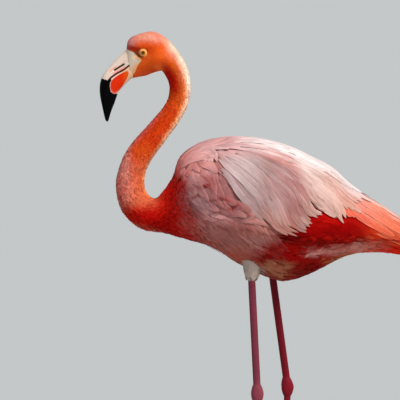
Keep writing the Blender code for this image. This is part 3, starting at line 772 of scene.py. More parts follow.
def featherFaces(count, rings, around):
    # one feather is rings of points closed by a flat root and a pointed tip
    k, j = np.meshgrid(np.arange(rings - 1), np.arange(around), indexing="ij")
    k, j, n = k.ravel() * around, j.ravel(), (j.ravel() + 1) % around
    sides = np.stack([k + j, k + around + j, k + around + n, k + n], axis=1)
    last, tip = (rings - 1) * around, rings * around
    j = np.arange(around)
    ends = np.stack([last + j, np.full(around, tip), last + (j + 1) % around], axis=1)
    root = np.stack([np.zeros(around - 2, int), np.arange(1, around - 1), np.arange(2, around)], axis=1)
    triangles = np.concatenate([sides[:, [0, 1, 2]], sides[:, [0, 2, 3]], ends, root])
    starts = np.arange(count)[:, None, None] * (rings * around + 1)
    return (starts + triangles[None]).reshape(-1, 3)


def featherProfile(t, blunt, root=0.16):
    # half width along a feather: rises as t^0.45, closes as (1 - t)^(1 / blunt)
    shape = t**0.45 * (1 - t) ** (1 / blunt)
    shape = shape / shape.max()
    return np.maximum(shape, root * (1 - t))


def traceShafts(form, tract, place, angle, length, start, bend, t, wander):
    # the shafts creep over the body's form, either along it or dipping below the level line by the fall
    found = {"centres": [], "normals": [], "headings": []}
    s, a = place.copy(), angle.copy()
    for k in range(len(t)):
        point, normal, along, around = readForm(form, s, a)
        fall = tract["fall"](point[:, 0], seenHeight(point)) + start + bend * t[k]
        turn = np.radians(fall + wander(point) * tract["wave"])[:, None]
        if tract["level"]:
            heading = np.concatenate([np.cos(turn), 0 * turn, -np.sin(turn)], axis=1)
            heading = unit(heading - dot(heading, normal) * normal)
        else:
            forward = unit(along - dot(along, normal) * normal)
            across = np.cross(normal, forward) * np.tanh(np.sin(a) / ridgeReach)[:, None]
            heading = unit(np.cos(turn) * forward + np.sin(turn) * across)
        for values, value in zip(found.values(), (point, normal, heading)):
            values.append(value)
        if k == len(t) - 1:
            break
        step = (length * (t[k + 1] - t[k]))[:, None]
        e, f, g = dot(along, along), dot(along, around), dot(around, around)
        p, q = dot(along, heading), dot(around, heading)
        room = np.maximum(e * g - f * f, 1e-6)
        s = s + ((g * p - f * q) / room * step)[:, 0]
        a = a + ((e * q - f * p) / room * step)[:, 0]
    return {name: np.stack(values, axis=1) for name, values in found.items()}


def shareToLine(tract, centres, t, rng):
    # how much of each feather lies before the tract's line, to the ring or, finely, between two rings
    each = np.arange(len(centres))
    beyond = tract["stop"](centres[..., 0], heightIn(tract, centres))
    beyond = beyond - rng.normal(0, tract["stray"], len(centres))[:, None]
    ring = np.argmax(beyond > 0, axis=1)
    before = np.maximum(ring - 1, 0)
    here, last = beyond[each, ring], beyond[each, before]
    share = np.clip(here / np.maximum(here - last, 1e-3), 0, 1) if tract["fineStop"] else 0
    first = np.where((beyond > 0).any(axis=1), t[ring] - share * (t[ring] - t[before]), 1.0)
    return np.clip(first, tract["least"], 1.0)


def liftAlong(tract, form, grown, rng):
    # lift above the form, from the skin at the root to the tips' level
    t, root, centres = grown["t"], grown["root"], grown["centres"]
    depth = (form["depth"](grown["place"]) * tract["deep"])[:, None]
    level = tract["lift"] + tract["liftBy"](root[:, 0], root[:, 2])
    level = (level + rng.normal(0, tract["liftDisorder"], len(root)))[:, None]
    tips = level + grown["lock"] * tract["lockLift"]
    if tract["relief"]:
        tips = tips + tract["relief"] * creaseAt(centres[..., 0], seenHeight(centres))[1]
    return -depth + (tips + depth) * t ** tract["rise"] - tract["curl"] * grown["length"][:, None] * t**4


def featherPoints(tract, grown, lift, rng):
    # the section's points round each shaft, and the tip; each vane's lower edge lies over the next one
    # below, like tiles
    t, angle, (v, h) = grown["t"], grown["angle"], np.array(vaneSections[tract["section"]]).T
    roll = rng.normal(0, tract["roll"], len(angle)) + tract["tile"] * np.tanh(np.sin(angle) / ridgeReach)
    roll = np.radians(roll)[:, None, None]
    widths = grown["halfWidth"][:, None] * featherProfile(t[:-1], tract["blunt"], tract["root"])
    widths = np.repeat(widths[:, :, None], 2, axis=2)
    ragged = rng.uniform(0, 1, widths.shape) ** 2 * tract["ragged"] * t[None, :-1, None]
    widths = widths * (1 - ragged)
    half = np.where(v < 0, widths[:, :, :1], widths[:, :, 1:])
    offset = v * half
    droop = -tract["camber"] * np.abs(v) ** 2 * half
    height = lift[:, :-1, None] + h * tract["thick"] + offset * np.sin(roll) + droop
    centres, normals = grown["centres"], grown["normals"]
    sides = np.cross(normals, grown["headings"])
    body = (centres[:, :-1, None] + sides[:, :-1, None] * offset[..., None]
            + normals[:, :-1, None] * height[..., None])
    tips = centres[:, -1] + normals[:, -1] * lift[:, -1:]
    return np.concatenate([body.reshape(len(angle), -1, 3), tips[:, None]], axis=1)


def palerOf(colour):  # colour^0.6, held back in a channel that is near nothing
    return colour**0.6 * colour / (colour + 0.006)


def featherColours(tract, grown, points, across, along, rng):
    # the markings along the shaft mixed with those at the root, then locks and the feather's own tone;
    # redder is towards one deep red
    count = len(points)
    shift = rng.normal(0, tract["jitter"], (count, 1, 3)) * (1.0, 0.0, 1.0)
    own = tract["paint"]((points + shift).reshape(-1, 3)).reshape(count, -1, 3)
    own = own + tract["held"] * (own[:, :1] - own)
    paler = rng.uniform(0, 1, count) ** 2 * tract["pale"]
    redder = rng.uniform(0, 1, count) ** 3 * tract["red"]
    around = len(vaneSections[tract["section"]])
    lock = np.append(np.repeat(grown["lock"][:, :-1], around, axis=1), grown["lock"][:, -1:], axis=1)
    own = blend(own, paler[:, None] + np.maximum(lock, 0) * tract["lockPale"], palerOf(own))
    own = blend(own, redder[:, None] + np.maximum(-lock, 0) * tract["lockRed"], tract["deepRed"])
    own = np.clip(own * (1 + rng.normal(0, tract["tone"], count))[:, None, None], 0.0005, 0.97)
    # painted shade: darker towards the root, which lies under other feathers, a little lighter at the tip
    rootShade, tipShade = tract["shade"]
    colours = own * (rootShade + (tipShade - rootShade) * ease(along * 1.3))[:, None]
    colours = blend(colours, tract["redRoot"] * (1 - ease(along / 0.55)), tract["deepRed"])
    edge = np.append(np.abs(across[:-1]), 1.0)  # the tip is an edge too
    return blend(colours, tract["edgePale"] * edge**2 * ease(along * 2), palerOf(colours))


def growFeathers(name, tract, form=bodyShape):
    tract = {**plainFeather, **tract}
    rng = np.random.default_rng(tract["seed"])
    place, angle = rootPlaces(form, tract, rng)
    count, rings = len(place), tract["rings"]
    length = rng.uniform(*tract["length"], count)
    halfWidth = rng.uniform(*tract["width"], count) / 2 * tract["sizeBy"](place)
    root = readForm(form, place, angle)[0]
    length = length * tract["lengthBy"](root[:, 0], seenHeight(root)) * tract["sizeBy"](place)
    streak = streakField(tract["seed"] + 100, *tract["locks"])
    wander = streakField(tract["seed"] + 200, *tract["eddies"])
    start = rng.normal(0, tract["disorder"], count)
    bend = rng.normal(0, tract["disorder"] * 0.8, count)
    t = np.append(1 - (1 - np.arange(rings) / rings) ** 1.15, 1.0)  # rings closer together at the root

    shafts = traceShafts(form, tract, place, angle, length, start, bend, t, wander)
    if tract["stop"]:
        length = length * shareToLine(tract, shafts["centres"], t, rng)
        shafts = traceShafts(form, tract, place, angle, length, start, bend, t, wander)
    lock = streak(shafts["centres"].reshape(-1, 3)).reshape(count, rings + 1)
    lock = 0.75 * lock + 0.25 * lock[:, :1]
    grown = dict(shafts, t=t, place=place, angle=angle, root=root, lock=lock)
    grown.update(length=length, halfWidth=halfWidth)
    points = featherPoints(tract, grown, liftAlong(tract, form, grown, rng), rng)

    # each point's place on its feather: across it from -1 to 1, and along it from 0 to 1
    section = vaneSections[tract["section"]]
    across = np.append(np.tile([v for v, h in section], rings), 0.0)
    along = np.append(np.repeat(t[:-1], len(section)), 1.0)
    mesh = buildMesh(name, points.reshape(-1, 3), featherFaces(count, rings, len(section)))
    mesh.set_sharp_from_angle(angle=math.radians(50.0))
    setColours(mesh, "plume", featherColours(tract, grown, points, across, along, rng).reshape(-1, 3))
    number = np.arange(count)[:, None] * 7.3  # tells the feathers apart
    vane = np.broadcast_arrays(across * halfWidth[:, None], along * length[:, None], number)
    setValues(mesh, "vane", np.stack(vane, axis=-1), "FLOAT_VECTOR", "vector")
    addBakeMap(mesh, place, (angle / (2 * math.pi)) % 1.0, across, along)
    addPiece(name, mesh, [tract["material"]])
    print(f"{name}: {count} feathers, {len(mesh.polygons)} triangles")


bakeMap = {"patch": 0.003, "margin": 0.01}  # size of one feather's patch, and the map's free border


def addBakeMap(mesh, place, turn, across, along):
    # the skin's own unwrap is (place along, angle around); each feather is a small patch at its root
    low, high = place.min(), max(place.max(), place.min() + 1.0)
    room = 1 - 2 * bakeMap["margin"]
    u = bakeMap["margin"] + room * (place - low) / (high - low)
    v = bakeMap["margin"] + room * turn
    uv = np.stack([u[:, None] + across * bakeMap["patch"] / 2, v[:, None] + (along - 0.5) * bakeMap["patch"]],
                  axis=-1).reshape(-1, 2)
    layer = mesh.uv_layers.new(name="OFBake")
    corners = readAll(mesh.loops, "vertex_index", kind=np.int32)[:, 0]
    layer.data.foreach_set("uv", uv[corners].astype(np.float32).ravel())


vaneLooks = {
    # pitch (mm) and slant of the barbs, their bump, and how far their clumps and long streaks vary
    "velvetFeathers": dict(pitch=0.5, slant=1.5, bump=0.2, roughness=0.75, clump=0.3, streak=0.2),
    "bodyFeathers": dict(pitch=1.1, slant=1.6, bump=0.3, roughness=0.65, clump=0.35, streak=0.7),
    "longPlumes": dict(pitch=1.4, slant=1.8, bump=0.3, roughness=0.6, clump=0.35, streak=0.9),
}
sheenTint = (1.0, 0.86, 0.82, 1.0)


def featherMaterial(name, pitch, slant, bump, roughness, clump, streak):
    material, tree, shader = newMaterial(name, Roughness=roughness, Sheen_Weight=0.01, Sheen_Roughness=0.45,
                                         Sheen_Tint=sheenTint, Specular_IOR_Level=0.02)
    barbs = groupNode(tree, barbGroup, Pitch=pitch, Slant=slant, Clump=clump, Streak=streak)
    link(tree, mottled(tree, "plume", greyOf(tree, barbs["Tone"])), shader.inputs["Base Color"])
    addBump(tree, shader, barbs["Height"], bump, 0.0004)
    return material


barbGroup = makeBarbGroup()
grainGroup = makeGrainGroup()
velvet, bodyVanes, longVanes = (featherMaterial(name, **look) for name, look in vaneLooks.items())

bareFace = {
    # outline of the bare skin on the side view, from the forehead down to the chin
    "edge": [(-245.2, 900.5), (-239.0, 898.2), (-231.5, 895.4), (-226.5, 891.5), (-224.0, 887.5),
             (-217.8, 883.4), (-217.6, 880.4), (-220.8, 877.0), (-223.6, 872.5), (-226.3, 866.6),
             (-228.6, 860.0), (-232.5, 855.6), (-238.5, 848.0)],
    "colour": (0.74, 0.60, 0.46), "lowColour": (0.90, 0.40, 0.16),
    "foldColour": (0.95, 0.50, 0.20), "grooveColour": (0.24, 0.17, 0.05),
}
eyeForm = {"middle": (-214.9, 16.6, 894.6), "radius": 7.9, "ringReach": (7.0, 7.5)}


def faceMargin(x, z):
    # how far (mm) a side-view point lies behind the bare face's edge; negative on the bare skin
    edge = np.array(bareFace["edge"])
    return x - np.interp(z, edge[::-1, 1], edge[::-1, 0])


def eyeFar(x, z):
    # 1 on the rim of the ring of bare skin round the eye
    middle, (reachX, reachZ) = eyeForm["middle"], eyeForm["ringReach"]
    return np.hypot((x - middle[0]) / reachX, (z - middle[2]) / reachZ)


def steps(*stops):
    # a number read from (x, value) stops
    places, values = zip(*stops)
    return lambda x, z: np.interp(x, places, values)


def always(value):
    return lambda x, z: value + 0 * x


def between(start, end):
    # the places of two x along the trunk
    return placeAtX(start), placeAtX(end)


lieReach = 8.0
# how the trunk's feathers lie on the side view: x, height, dip of their tips below the level line
lieTable = [
    (-162, 690, -30), (-140, 715, -8), (-152, 650, 20), (-150, 600, 28), (-122, 722, 6), (-80, 742, 4),
    (-30, 742, 10), (30, 728, 20), (72, 708, 30), (110, 682, 32), (150, 655, 31), (-112, 690, 18),
    (-110, 660, 22), (-105, 625, 26), (-95, 590, 32), (-89, 707, 68), (-77, 661, 60), (-51, 626, 46),
    (-12, 591, 38), (28, 572, 28), (-60, 715, 42), (-35, 690, 50), (0, 655, 60), (22, 612, 66), (50, 640, 62),
    (57, 708, 40), (40, 680, 50), (90, 668, 52), (122, 632, 55), (137, 608, 58), (-60, 560, 36),
    (-25, 535, 45), (0, 558, 25), (40, 548, 12), (80, 530, -8), (120, 540, -12), (60, 510, -6), (20, 510, 15),
    (-110, 560, 26), (-60, 535, 25), (100, 590, 14), (150, 590, 16), (200, 600, 30), (180, 630, 31),
    (240, 575, 31), (250, 550, 10), (160, 548, 0), (200, 548, 4),
]


def lie(x, z):
    # the table's dips weighted by 1 / (distance^2 + reach^2)^2
    total, weights = 0 * x, 0 * x
    for atX, atZ, dip in lieTable:
        weight = ((x - atX) ** 2 + (z - atZ) ** 2 + lieReach**2) ** -2
        total, weights = total + weight * dip, weights + weight
    return total / weights


# lines on the side view, x and height, that some tracts' tips run out to
tipLines = {
    "plumes": [(-100, 725), (-89, 704), (-77, 658), (-51, 622), (-12, 588), (28, 569), (42, 575), (68, 588),
               (86, 611), (100, 616), (136, 603), (150, 606), (175, 640)],
    "hind": [(100, 650), (137, 614), (157, 607), (175, 590), (200, 566), (230, 550), (291, 530)],
    "mantle": [(-200, 640), (-150, 672), (-125, 690), (-108, 704), (-90, 714), (-30, 722), (30, 712),
               (70, 694), (100, 680)],
    "ledge": [(-146, 636), (-112, 583), (-70, 568), (0, 562), (31, 567), (51, 567), (66, 562), (83, 560),
              (138, 558), (225, 559), (291, 541)],
}
# the front edge of the fan of long plumes: height, x
fanLine = [(500, 0), (520, 15), (540, 34), (560, 36), (572, 24), (591, -17), (626, -51), (661, -86),
           (707, -99), (725, -111)]


def ledgeAt(x):
    return np.interp(x, *zip(*tipLines["ledge"]))


def stopBelow(name):
    # how far (mm) a side-view point lies below one of the lines
    return lambda x, z: np.interp(x, *zip(*tipLines[name])) - z


def fanStop(x, z):
    # how far (mm) a side-view point lies behind the fan's front edge
    return x - np.interp(z, *zip(*fanLine))


def covertStop(x, z):
    return fanStop(x, z) - 9.0


crimsonTones = {"low": (0.21, 0.0006, 0.0006), "high": (0.44, 0.0020, 0.0012), "hind": (0.66, 0.045, 0.010)}


def crimsonPaint(points):
    # deep red beside the folded quills: brighter at the top, orange towards the tail, with painted shade
    # along the wing's lower edge
    x, z = points[:, 0], seenHeight(points)
    high = ease((z - 566) / 54)[:, None]
    colour = np.array(crimsonTones["low"]) * (1 - high) + np.array(crimsonTones["high"]) * high
    # painted shade along the wing's lower edge, where it hangs over the belly
    foot = ease((ledgeAt(x) + 8 - z) / 7)[:, None] * ease((200 - x) / 60)[:, None]
    return blend(colour * (1 - 0.6 * foot), ease((x - 150) / 75), crimsonTones["hind"])


backTones = {
    "x": [-95, -60, -28, 0, 26, 48, 80, 130],
    "colours": [(0.57, 0.33, 0.33), (0.50, 0.345, 0.350), (0.385, 0.262, 0.262), (0.31, 0.175, 0.165),
                (0.345, 0.180, 0.175), (0.31, 0.125, 0.12), (0.41, 0.215, 0.18), (0.50, 0.25, 0.20)],
    "low": (0.42, 0.155, 0.115),
    "band": (56.0, 714.0, 136.0, 612.0, 15.0),  # start x, z, end x, z, reach
    "bandStart": (0.68, 0.55, 0.51), "bandChange": (-0.17, -0.33, -0.35),
}


def backPaint(points):
    # mantle and long plumes: rosy pink at the shoulder, grey pink over the wing, deeper towards the
    # crimson, warm at the low tips, a white band slanting down, and a painted highlight along the ridge
    x, z = points[:, 0], seenHeight(points)
    colour = tonesAlong(backTones["x"], backTones["colours"], x)
    colour = blend(colour, ease((636 - z) / 50) * ease((70 - x) / 30) * 0.8, backTones["low"])
    far, t = nearLine(x, z, backTones["band"])
    band = np.array(backTones["bandStart"]) + t[:, None] * np.array(backTones["bandChange"])
    colour = blend(colour, np.exp(-((far / backTones["band"][4]) ** 2)), band)
    colour = blend(colour, ease((z - ridgeZ(x) + 44) / 22) * ease((76 - x) / 50), washColour(points))
    return blend(colour, ease((z - ridgeZ(x) + 24) / 18) * ease((x + 60) / 60) * 0.9, ridgeHighlight)


hindTones = {
    "x": [60, 110, 160, 205, 250, 291],
    "colours": [(0.62, 0.32, 0.28), (0.66, 0.28, 0.22), (0.68, 0.25, 0.19), (0.68, 0.16, 0.085),
                (0.68, 0.10, 0.04), (0.62, 0.06, 0.02)],
    # ridge: a painted highlight along the top of the back
    "low": (0.70, 0.075, 0.025), "ridge": (0.70, 0.46, 0.41),
}


def hindPaint(points):
    # behind the loin: salmon turning orange red towards the tail, with a painted highlight along the ridge
    x, z = points[:, 0], seenHeight(points)
    colour = tonesAlong(hindTones["x"], hindTones["colours"], x)
    colour = blend(colour, ease((ridgeZ(x) - 24 - z) / 20) * 0.75, hindTones["low"])
    # painted highlight along the top of the back
    return blend(colour, ease((z - ridgeZ(x) + 12) / 12) * 0.8, hindTones["ridge"])


def thighPaint(points):
    return np.tile(np.array(washes["thigh"][3]), (len(points), 1))


def covertRoots(x, z, deg):
    return (deg > 38) & (z > ledgeAt(x) - 8) & (x > -150 - 0.2 * (z - 650))


def lowPlumeRoots(x, z, deg):
    lowest = ridgeZ(x) - np.interp(x, [-60, -20], [58, 84])
    return (z > lowest) & (z < ridgeZ(x) - 30) & (x < 30) & (fanStop(x, z) > -17)


# The feather tracts. Lengths and widths are ranges in millimetres; what a tract leaves out is plainFeather's.
velvety = dict(section="fine", lift=0.0, camber=0.0, material=velvet)
soft = dict(
    section="plain", blunt=2.6, ragged=0.25, camber=0.05, tone=0.04, shade=(0.88, 1.02), material=bodyVanes,
    slot="plumage_wing", level=True, fall=lie)
lobed = dict(
    soft, section="broad", blunt=2.0, width=(11.0, 15.0), rise=0.35, lockPale=0.42,
    deepRed=(0.27, 0.035, 0.032))
quills = dict(soft, section="broad", roll=1.5, material=longVanes)
plumes = dict(
    quills, width=(10.0, 15.0), blunt=1.7, root=0.8, liftDisorder=0.1, tile=1.5, curl=0.007, paint=backPaint,
    tone=0.06, pale=0.4, edgePale=0.2, lockPale=0.45, lockLift=0.25, stop=stopBelow("plumes"), stray=8.0)
tracts = {
    "coat_head": dict(
        velvety, seed=11, span=(1.0, neckStartPlace + 12.0), gaps=(1.35, 1.15), length=(3.6, 4.8),
        width=(1.6, 2.1), rings=2, blunt=2.4, liftDisorder=0.06, disorder=6.0, roll=3.0, thick=0.6,
        tone=0.09, pale=0.03, red=0.12, shade=(0.85, 1.04), jitter=0.8, locks=(20.0, 9.0, 5.0),
        lockPale=0.06, lockRed=0.20, slot="plumage_head", fall=always(4),
        where=lambda x, z, deg: faceMargin(x, z) > 0.5, stop=lambda x, z: (1.05 - eyeFar(x, z)) * 7.2,
        plainHeight=True, fineStop=True, stray=0.2, room=-0.1),
    "coat_neck": dict(
        velvety, seed=12, span=(neckStartPlace + 9.0, neckEndPlace + 12.0), gaps=(2.2, 1.6),
        length=(5.6, 7.4), width=(2.3, 3.0), rings=3, blunt=2.2, liftDisorder=0.3, disorder=8.0, thick=0.8,
        tone=0.13, pale=0.04, red=0.3, shade=(0.78, 1.08), jitter=0.7, locks=(-60.0, 10.0, 5.0),
        lockPale=0.04, lockRed=0.22, slot="plumage_neck", fall=always(0),
        sizeBy=lambda place: np.interp(place - neckStartPlace, [0, 120, neckEndPlace - neckStartPlace],
                                       [0.9, 1.15, 1.7])),
    "coat_breast": dict(
        soft, seed=14, span=(neckEndPlace, placeAtX(-70.0)), gaps=(6.0, 4.6), length=(19.0, 26.0),
        width=(8.0, 11.0), rings=4, lift=-0.8, liftDisorder=0.35, disorder=9.0, pale=0.05, red=0.2,
        shade=(0.8, 1.04), locks=(20.0, 18.0, 8.0), lockPale=0.06, lockRed=0.3,
        slot="plumage_body", level=False, fall=always(6), where=lambda x, z, deg: fanStop(x, z) < -26),
    "coat_under": dict(
        soft, seed=15, span=between(-95.0, 236.0), gaps=(9.0, 7.0), length=(30.0, 40.0), width=(13.0, 17.0),
        rings=4, section="fine", lift=-2.6, liftDisorder=0.5, disorder=8.0, slot="plumage_body"),
    "coat_belly": dict(
        soft, seed=16, span=between(-100.0, 215.0), gaps=(10.0, 6.5), length=(36.0, 50.0), width=(11.0, 15.0),
        rings=6, lift=0.0, liftDisorder=0.35, disorder=9.0, roll=4.0, rise=0.4, wave=8.0, pale=0.06, red=0.12,
        held=0.02, jitter=4.0, locks=(10.0, 26.0, 8.0), lockPale=0.15, lockRed=0.35, lockLift=0.5,
        slot="plumage_body", where=lambda x, z, deg: z < ledgeAt(x) + 4),
    "coat_mantle": dict(
        soft, seed=17, span=between(-155.0, 0.0), gaps=(16.0, 5.6), length=(62.0, 92.0), width=(10.0, 14.5),
        rings=11, blunt=1.5, root=0.7, lift=2.2, liftBy=steps((-110, -1.7), (-40, 0)), liftDisorder=0.1,
        disorder=5.0, roll=1.5, tile=1.0, rise=0.3, curl=0.012, thick=0.7, wave=5.0, paint=backPaint,
        tone=0.07, pale=0.12, red=0.03, edgePale=0.08, locks=(6.0, 55.0, 8.0), lockPale=0.28, lockRed=0.08,
        lockLift=0.3, slot="plumage_body", where=lambda x, z, deg: deg < 62, stop=stopBelow("mantle"),
        stray=7.0, room=-16.0),
    "coat_coverts": dict(
        lobed, seed=18, span=between(-150.0, -8.0), gaps=(13.0, 7.0), length=(38.0, 54.0), rings=12, lift=0.0,
        liftBy=lambda x, z: 2.3 * ease((fanStop(x, z - 9) + 52) / 26), liftDisorder=0.35, relief=1.3,
        disorder=6.0, roll=4.0, tile=2.5, camber=0.10, curl=0.01, wave=26.0, tone=0.08, pale=0.12,
        red=0.08, redRoot=0.15, edgePale=0.3, jitter=1.5, locks=(24.0, 26.0, 9.0), lockRed=0.35, lockLift=0.6,
        where=covertRoots, stop=covertStop, stray=6.0),
    "coat_flank": dict(
        lobed, seed=19, span=between(-112.0, 38.0), gaps=(18.0, 7.0), length=(72.0, 98.0), rings=11, lift=0.3,
        liftDisorder=0.3, relief=1.2, disorder=5.0, roll=1.5, tile=2.0, camber=0.08, wave=14.0, tone=0.07,
        pale=0.15, red=0.05, edgePale=0.25, jitter=2.0, locks=(30.0, 40.0, 10.0), lockRed=0.2, lockLift=0.5,
        where=lambda x, z, deg: (z < 632) & (z > 556) & (x > -112) & (x < -22), stop=fanStop),
    "coat_crimson": dict(
        soft, seed=20, span=between(15.0, 205.0), gaps=(26.0, 8.5), length=(70.0, 90.0), width=(16.0, 21.0),
        rings=9, lift=-0.6, liftDisorder=0.15, disorder=4.0, roll=1.5, tile=2.2, rise=0.35,
        paint=crimsonPaint, pale=0.0, red=0.2, locks=(10.0, 40.0, 9.0),
        where=lambda x, z, deg: (z > ledgeAt(x) + 3) & (z < 652 - 0.3 * (x - 60)), stop=stopBelow("ledge")),
    "coat_hind": dict(
        quills, seed=21, span=between(62.0, 232.0), gaps=(40.0, 8.0), length=(120.0, 155.0),
        width=(15.0, 20.0), rings=14, lift=1.0, liftDisorder=0.2, disorder=2.5, tile=1.8, rise=0.35,
        curl=0.004, paint=hindPaint, tone=0.11, pale=0.06, red=0.05, edgePale=0.3, locks=(30.0, 70.0, 8.0),
        lockPale=0.25, lockRed=0.15, lockLift=0.3, lengthBy=lambda x, z: np.clip((288 - x) / 130, 0.15, 1.1),
        where=lambda x, z, deg: z > ridgeZ(x) - 46, stop=stopBelow("hind")),
    "coat_plumes_low": dict(
        plumes, seed=22, span=between(-130.0, 52.0), gaps=(30.0, 5.6), length=(95.0, 130.0), rings=18,
        lift=1.7, disorder=3.5, rise=0.2, red=0.04, edgePale=0.18, locks=(52.0, 60.0, 12.0), lockRed=0.06,
        stray=7.0, where=lowPlumeRoots, lengthBy=steps((-108, 1.7), (-60, 1.35), (0, 0.95), (50, 0.7))),
    "coat_plumes": dict(
        plumes, seed=23, span=between(-118.0, 62.0), gaps=(34.0, 5.6), length=(125.0, 160.0), rings=17,
        lift=1.9, disorder=3.0, rise=0.22, red=0.03, locks=(50.0, 70.0, 12.0), lockRed=0.05,
        where=lambda x, z, deg: (z > ridgeZ(x) - 60) & (z < ridgeZ(x) - 8) & (x > -112),
        lengthBy=steps((-108, 1.2), (-60, 1.1), (0, 0.95), (60, 0.6))),
    "coat_loin": dict(
        plumes, seed=24, span=between(-44.0, 92.0), gaps=(34.0, 6.0), length=(130.0, 165.0),
        width=(12.0, 17.0), rings=16, blunt=1.9, lift=2.35, disorder=3.0, rise=0.25, curl=0.006, tone=0.08,
        pale=0.3, red=0.0, locks=(45.0, 70.0, 12.0), lockRed=0.06, where=lambda x, z, deg: deg < 50,
        lengthBy=steps((-30, 1.0), (20, 0.95), (60, 0.72), (92, 0.5))),
    "coat_strands": dict(
        soft, seed=25, span=between(-100.0, 80.0), gaps=(14.0, 9.0), length=(60.0, 100.0), width=(3.0, 5.0),
        rings=9, section="fine", lift=2.2, liftDisorder=0.15, disorder=5.0, roll=2.0, rise=0.45, thick=0.5,
        material=longVanes, paint=backPaint, tone=0.08, pale=0.8, red=0.06, share=0.16,
        where=lambda x, z, deg: (z > ridgeZ(x) - 85) & (deg > 10) & (fanStop(x, z) > 4),
        lengthBy=steps((-95, 1.1), (0, 0.85), (80, 0.5)), stop=stopBelow("plumes")),
    "coat_wisps": dict(
        soft, seed=26, span=between(-135.0, 20.0), gaps=(10.0, 8.0), length=(22.0, 42.0), width=(2.2, 3.6),
        rings=6, section="fine", lift=1.2, liftDisorder=0.3, disorder=14.0, roll=8.0, wave=16.0, tone=0.08,
        pale=0.45, red=0.1, share=0.35,
        where=lambda x, z, deg: (deg > 40) & (z > 556) & (fanStop(x, z) < -8)),
    "coat_tail": dict(
        soft, seed=33, span=between(150.0, 289.0), gaps=(10.0, 7.0), length=(80.0, 105.0), width=(11.0, 15.0),
        rings=10, section="broad", blunt=2.2, lift=-1.2, liftDisorder=0.35, disorder=3.0, roll=2.0, tone=0.08,
        red=0.2, material=longVanes, slot="plumage_tail", level=False, fall=always(0),
        lengthBy=lambda x, z: np.clip((301 - x) / 96, 0.14, 1.1)),
}
thighTract = dict(
    soft, seed=31, span=(6.0, 72.0), gaps=(3.6, 2.6), length=(13.0, 19.0), width=(4.0, 5.6), rings=4,
    lift=0.9, liftDisorder=0.5, disorder=8.0, pale=0.2, red=0.0, paint=thighPaint, slot="plumage_thigh",
    level=False, fall=always(0), where=lambda x, z, deg: z > 508)

legForm = {
    # x and height of each joint, half width of the bird's stance
    "left": {"side": -1, "hip": (-18.0, 575.0), "knee": (-23.5, 527.0), "featherEnd": (-25.2, 497.0),
             "ankle": (-15.0, 297.5), "foot": (-18.5, 12.0)},
    "right": {"side": 1, "hip": (21.0, 575.0), "knee": (15.0, 524.0), "featherEnd": (13.0, 494.0),
              "ankle": (40.0, 297.5), "foot": (31.5, 12.0)},
    "stance": 40.0,
    # radii along the body and across it
    "hip": (37.0, 26.0), "knee": (17.0, 16.0), "featherEnd": (8.8, 8.4), "shin": (6.4, 5.6),
    "ankle": (10.5, 9.0), "shank": (5.8, 5.0), "ankleHalf": 17.0, "end": 21.0,
    "around": 32, "step": 1.6, "top": 4.0,  # how far under the hip the leg's skin begins
    "plate": 4.5, "plateRise": 0.16, "plateEdge": 0.25,  # scutes down the bare leg's front and back
    "knobReach": 9.0, "knobGroove": 0.9, "knobRidge": 0.5,
    # the thigh's feathers: rows and points round of their form, its inset, depth of the skin below it
    "thighTable": (60, 48), "thighTop": 6, "thighFoot": 5, "thighDepths": ([0, 50, 75], [4.0, 2.0, 0.6]),
}


def legLine(leg, z):
    # the middle line's x and the two radii at each height
    hip, knee, featherEnd, ankle, foot = (leg[k] for k in ("hip", "knee", "featherEnd", "ankle", "foot"))
    flesh = [(hip, "hip"), (knee, "knee"), (featherEnd, "featherEnd")][::-1]
    upper = smoothRows([p[1] for p, k in flesh], [(p[0], *legForm[k]) for p, k in flesh], z)
    lower = np.interp(z, [foot[1], ankle[1], featherEnd[1]], [foot[0], ankle[0], featherEnd[0]])
    bone = np.where((z > ankle[1])[:, None], legForm["shin"], legForm["shank"])
    swell = np.clip(np.cos(np.clip((z - ankle[1]) / legForm["ankleHalf"], -1, 1) * math.pi / 2), 0, 1) ** 0.8
    bone = bone + (np.array(legForm["ankle"]) - bone) * swell[:, None]
    share = ease((z - featherEnd[1] + 2.0) / 8.0)[:, None]
    return lower * (1 - share[:, 0]) + upper[:, 0] * share[:, 0], bone * (1 - share) + upper[:, 1:3] * share


def legShape(leg):
    # the thigh's form from the hip down: x = middle + a cos(angle), y = middle + b sin(angle)
    rows, around = legForm["thighTable"]
    top, foot = leg["hip"][1] - legForm["thighTop"], leg["featherEnd"][1] - legForm["thighFoot"]
    heights = np.linspace(top, foot, rows)
    angles = turnAngles(around)
    x, radii = legLine(leg, heights)
    points = np.stack([x[:, None] + radii[:, :1] * np.cos(angles),
                       legForm["stance"] * leg["side"] + radii[:, 1:] * np.sin(angles),
                       np.repeat(heights[:, None], around, 1)], axis=-1)
    places = heights[0] - heights
    return {"table": withSlopes(points, places, angles), "length": places[-1],
            "depth": lambda place: np.interp(place, *legForm["thighDepths"])}


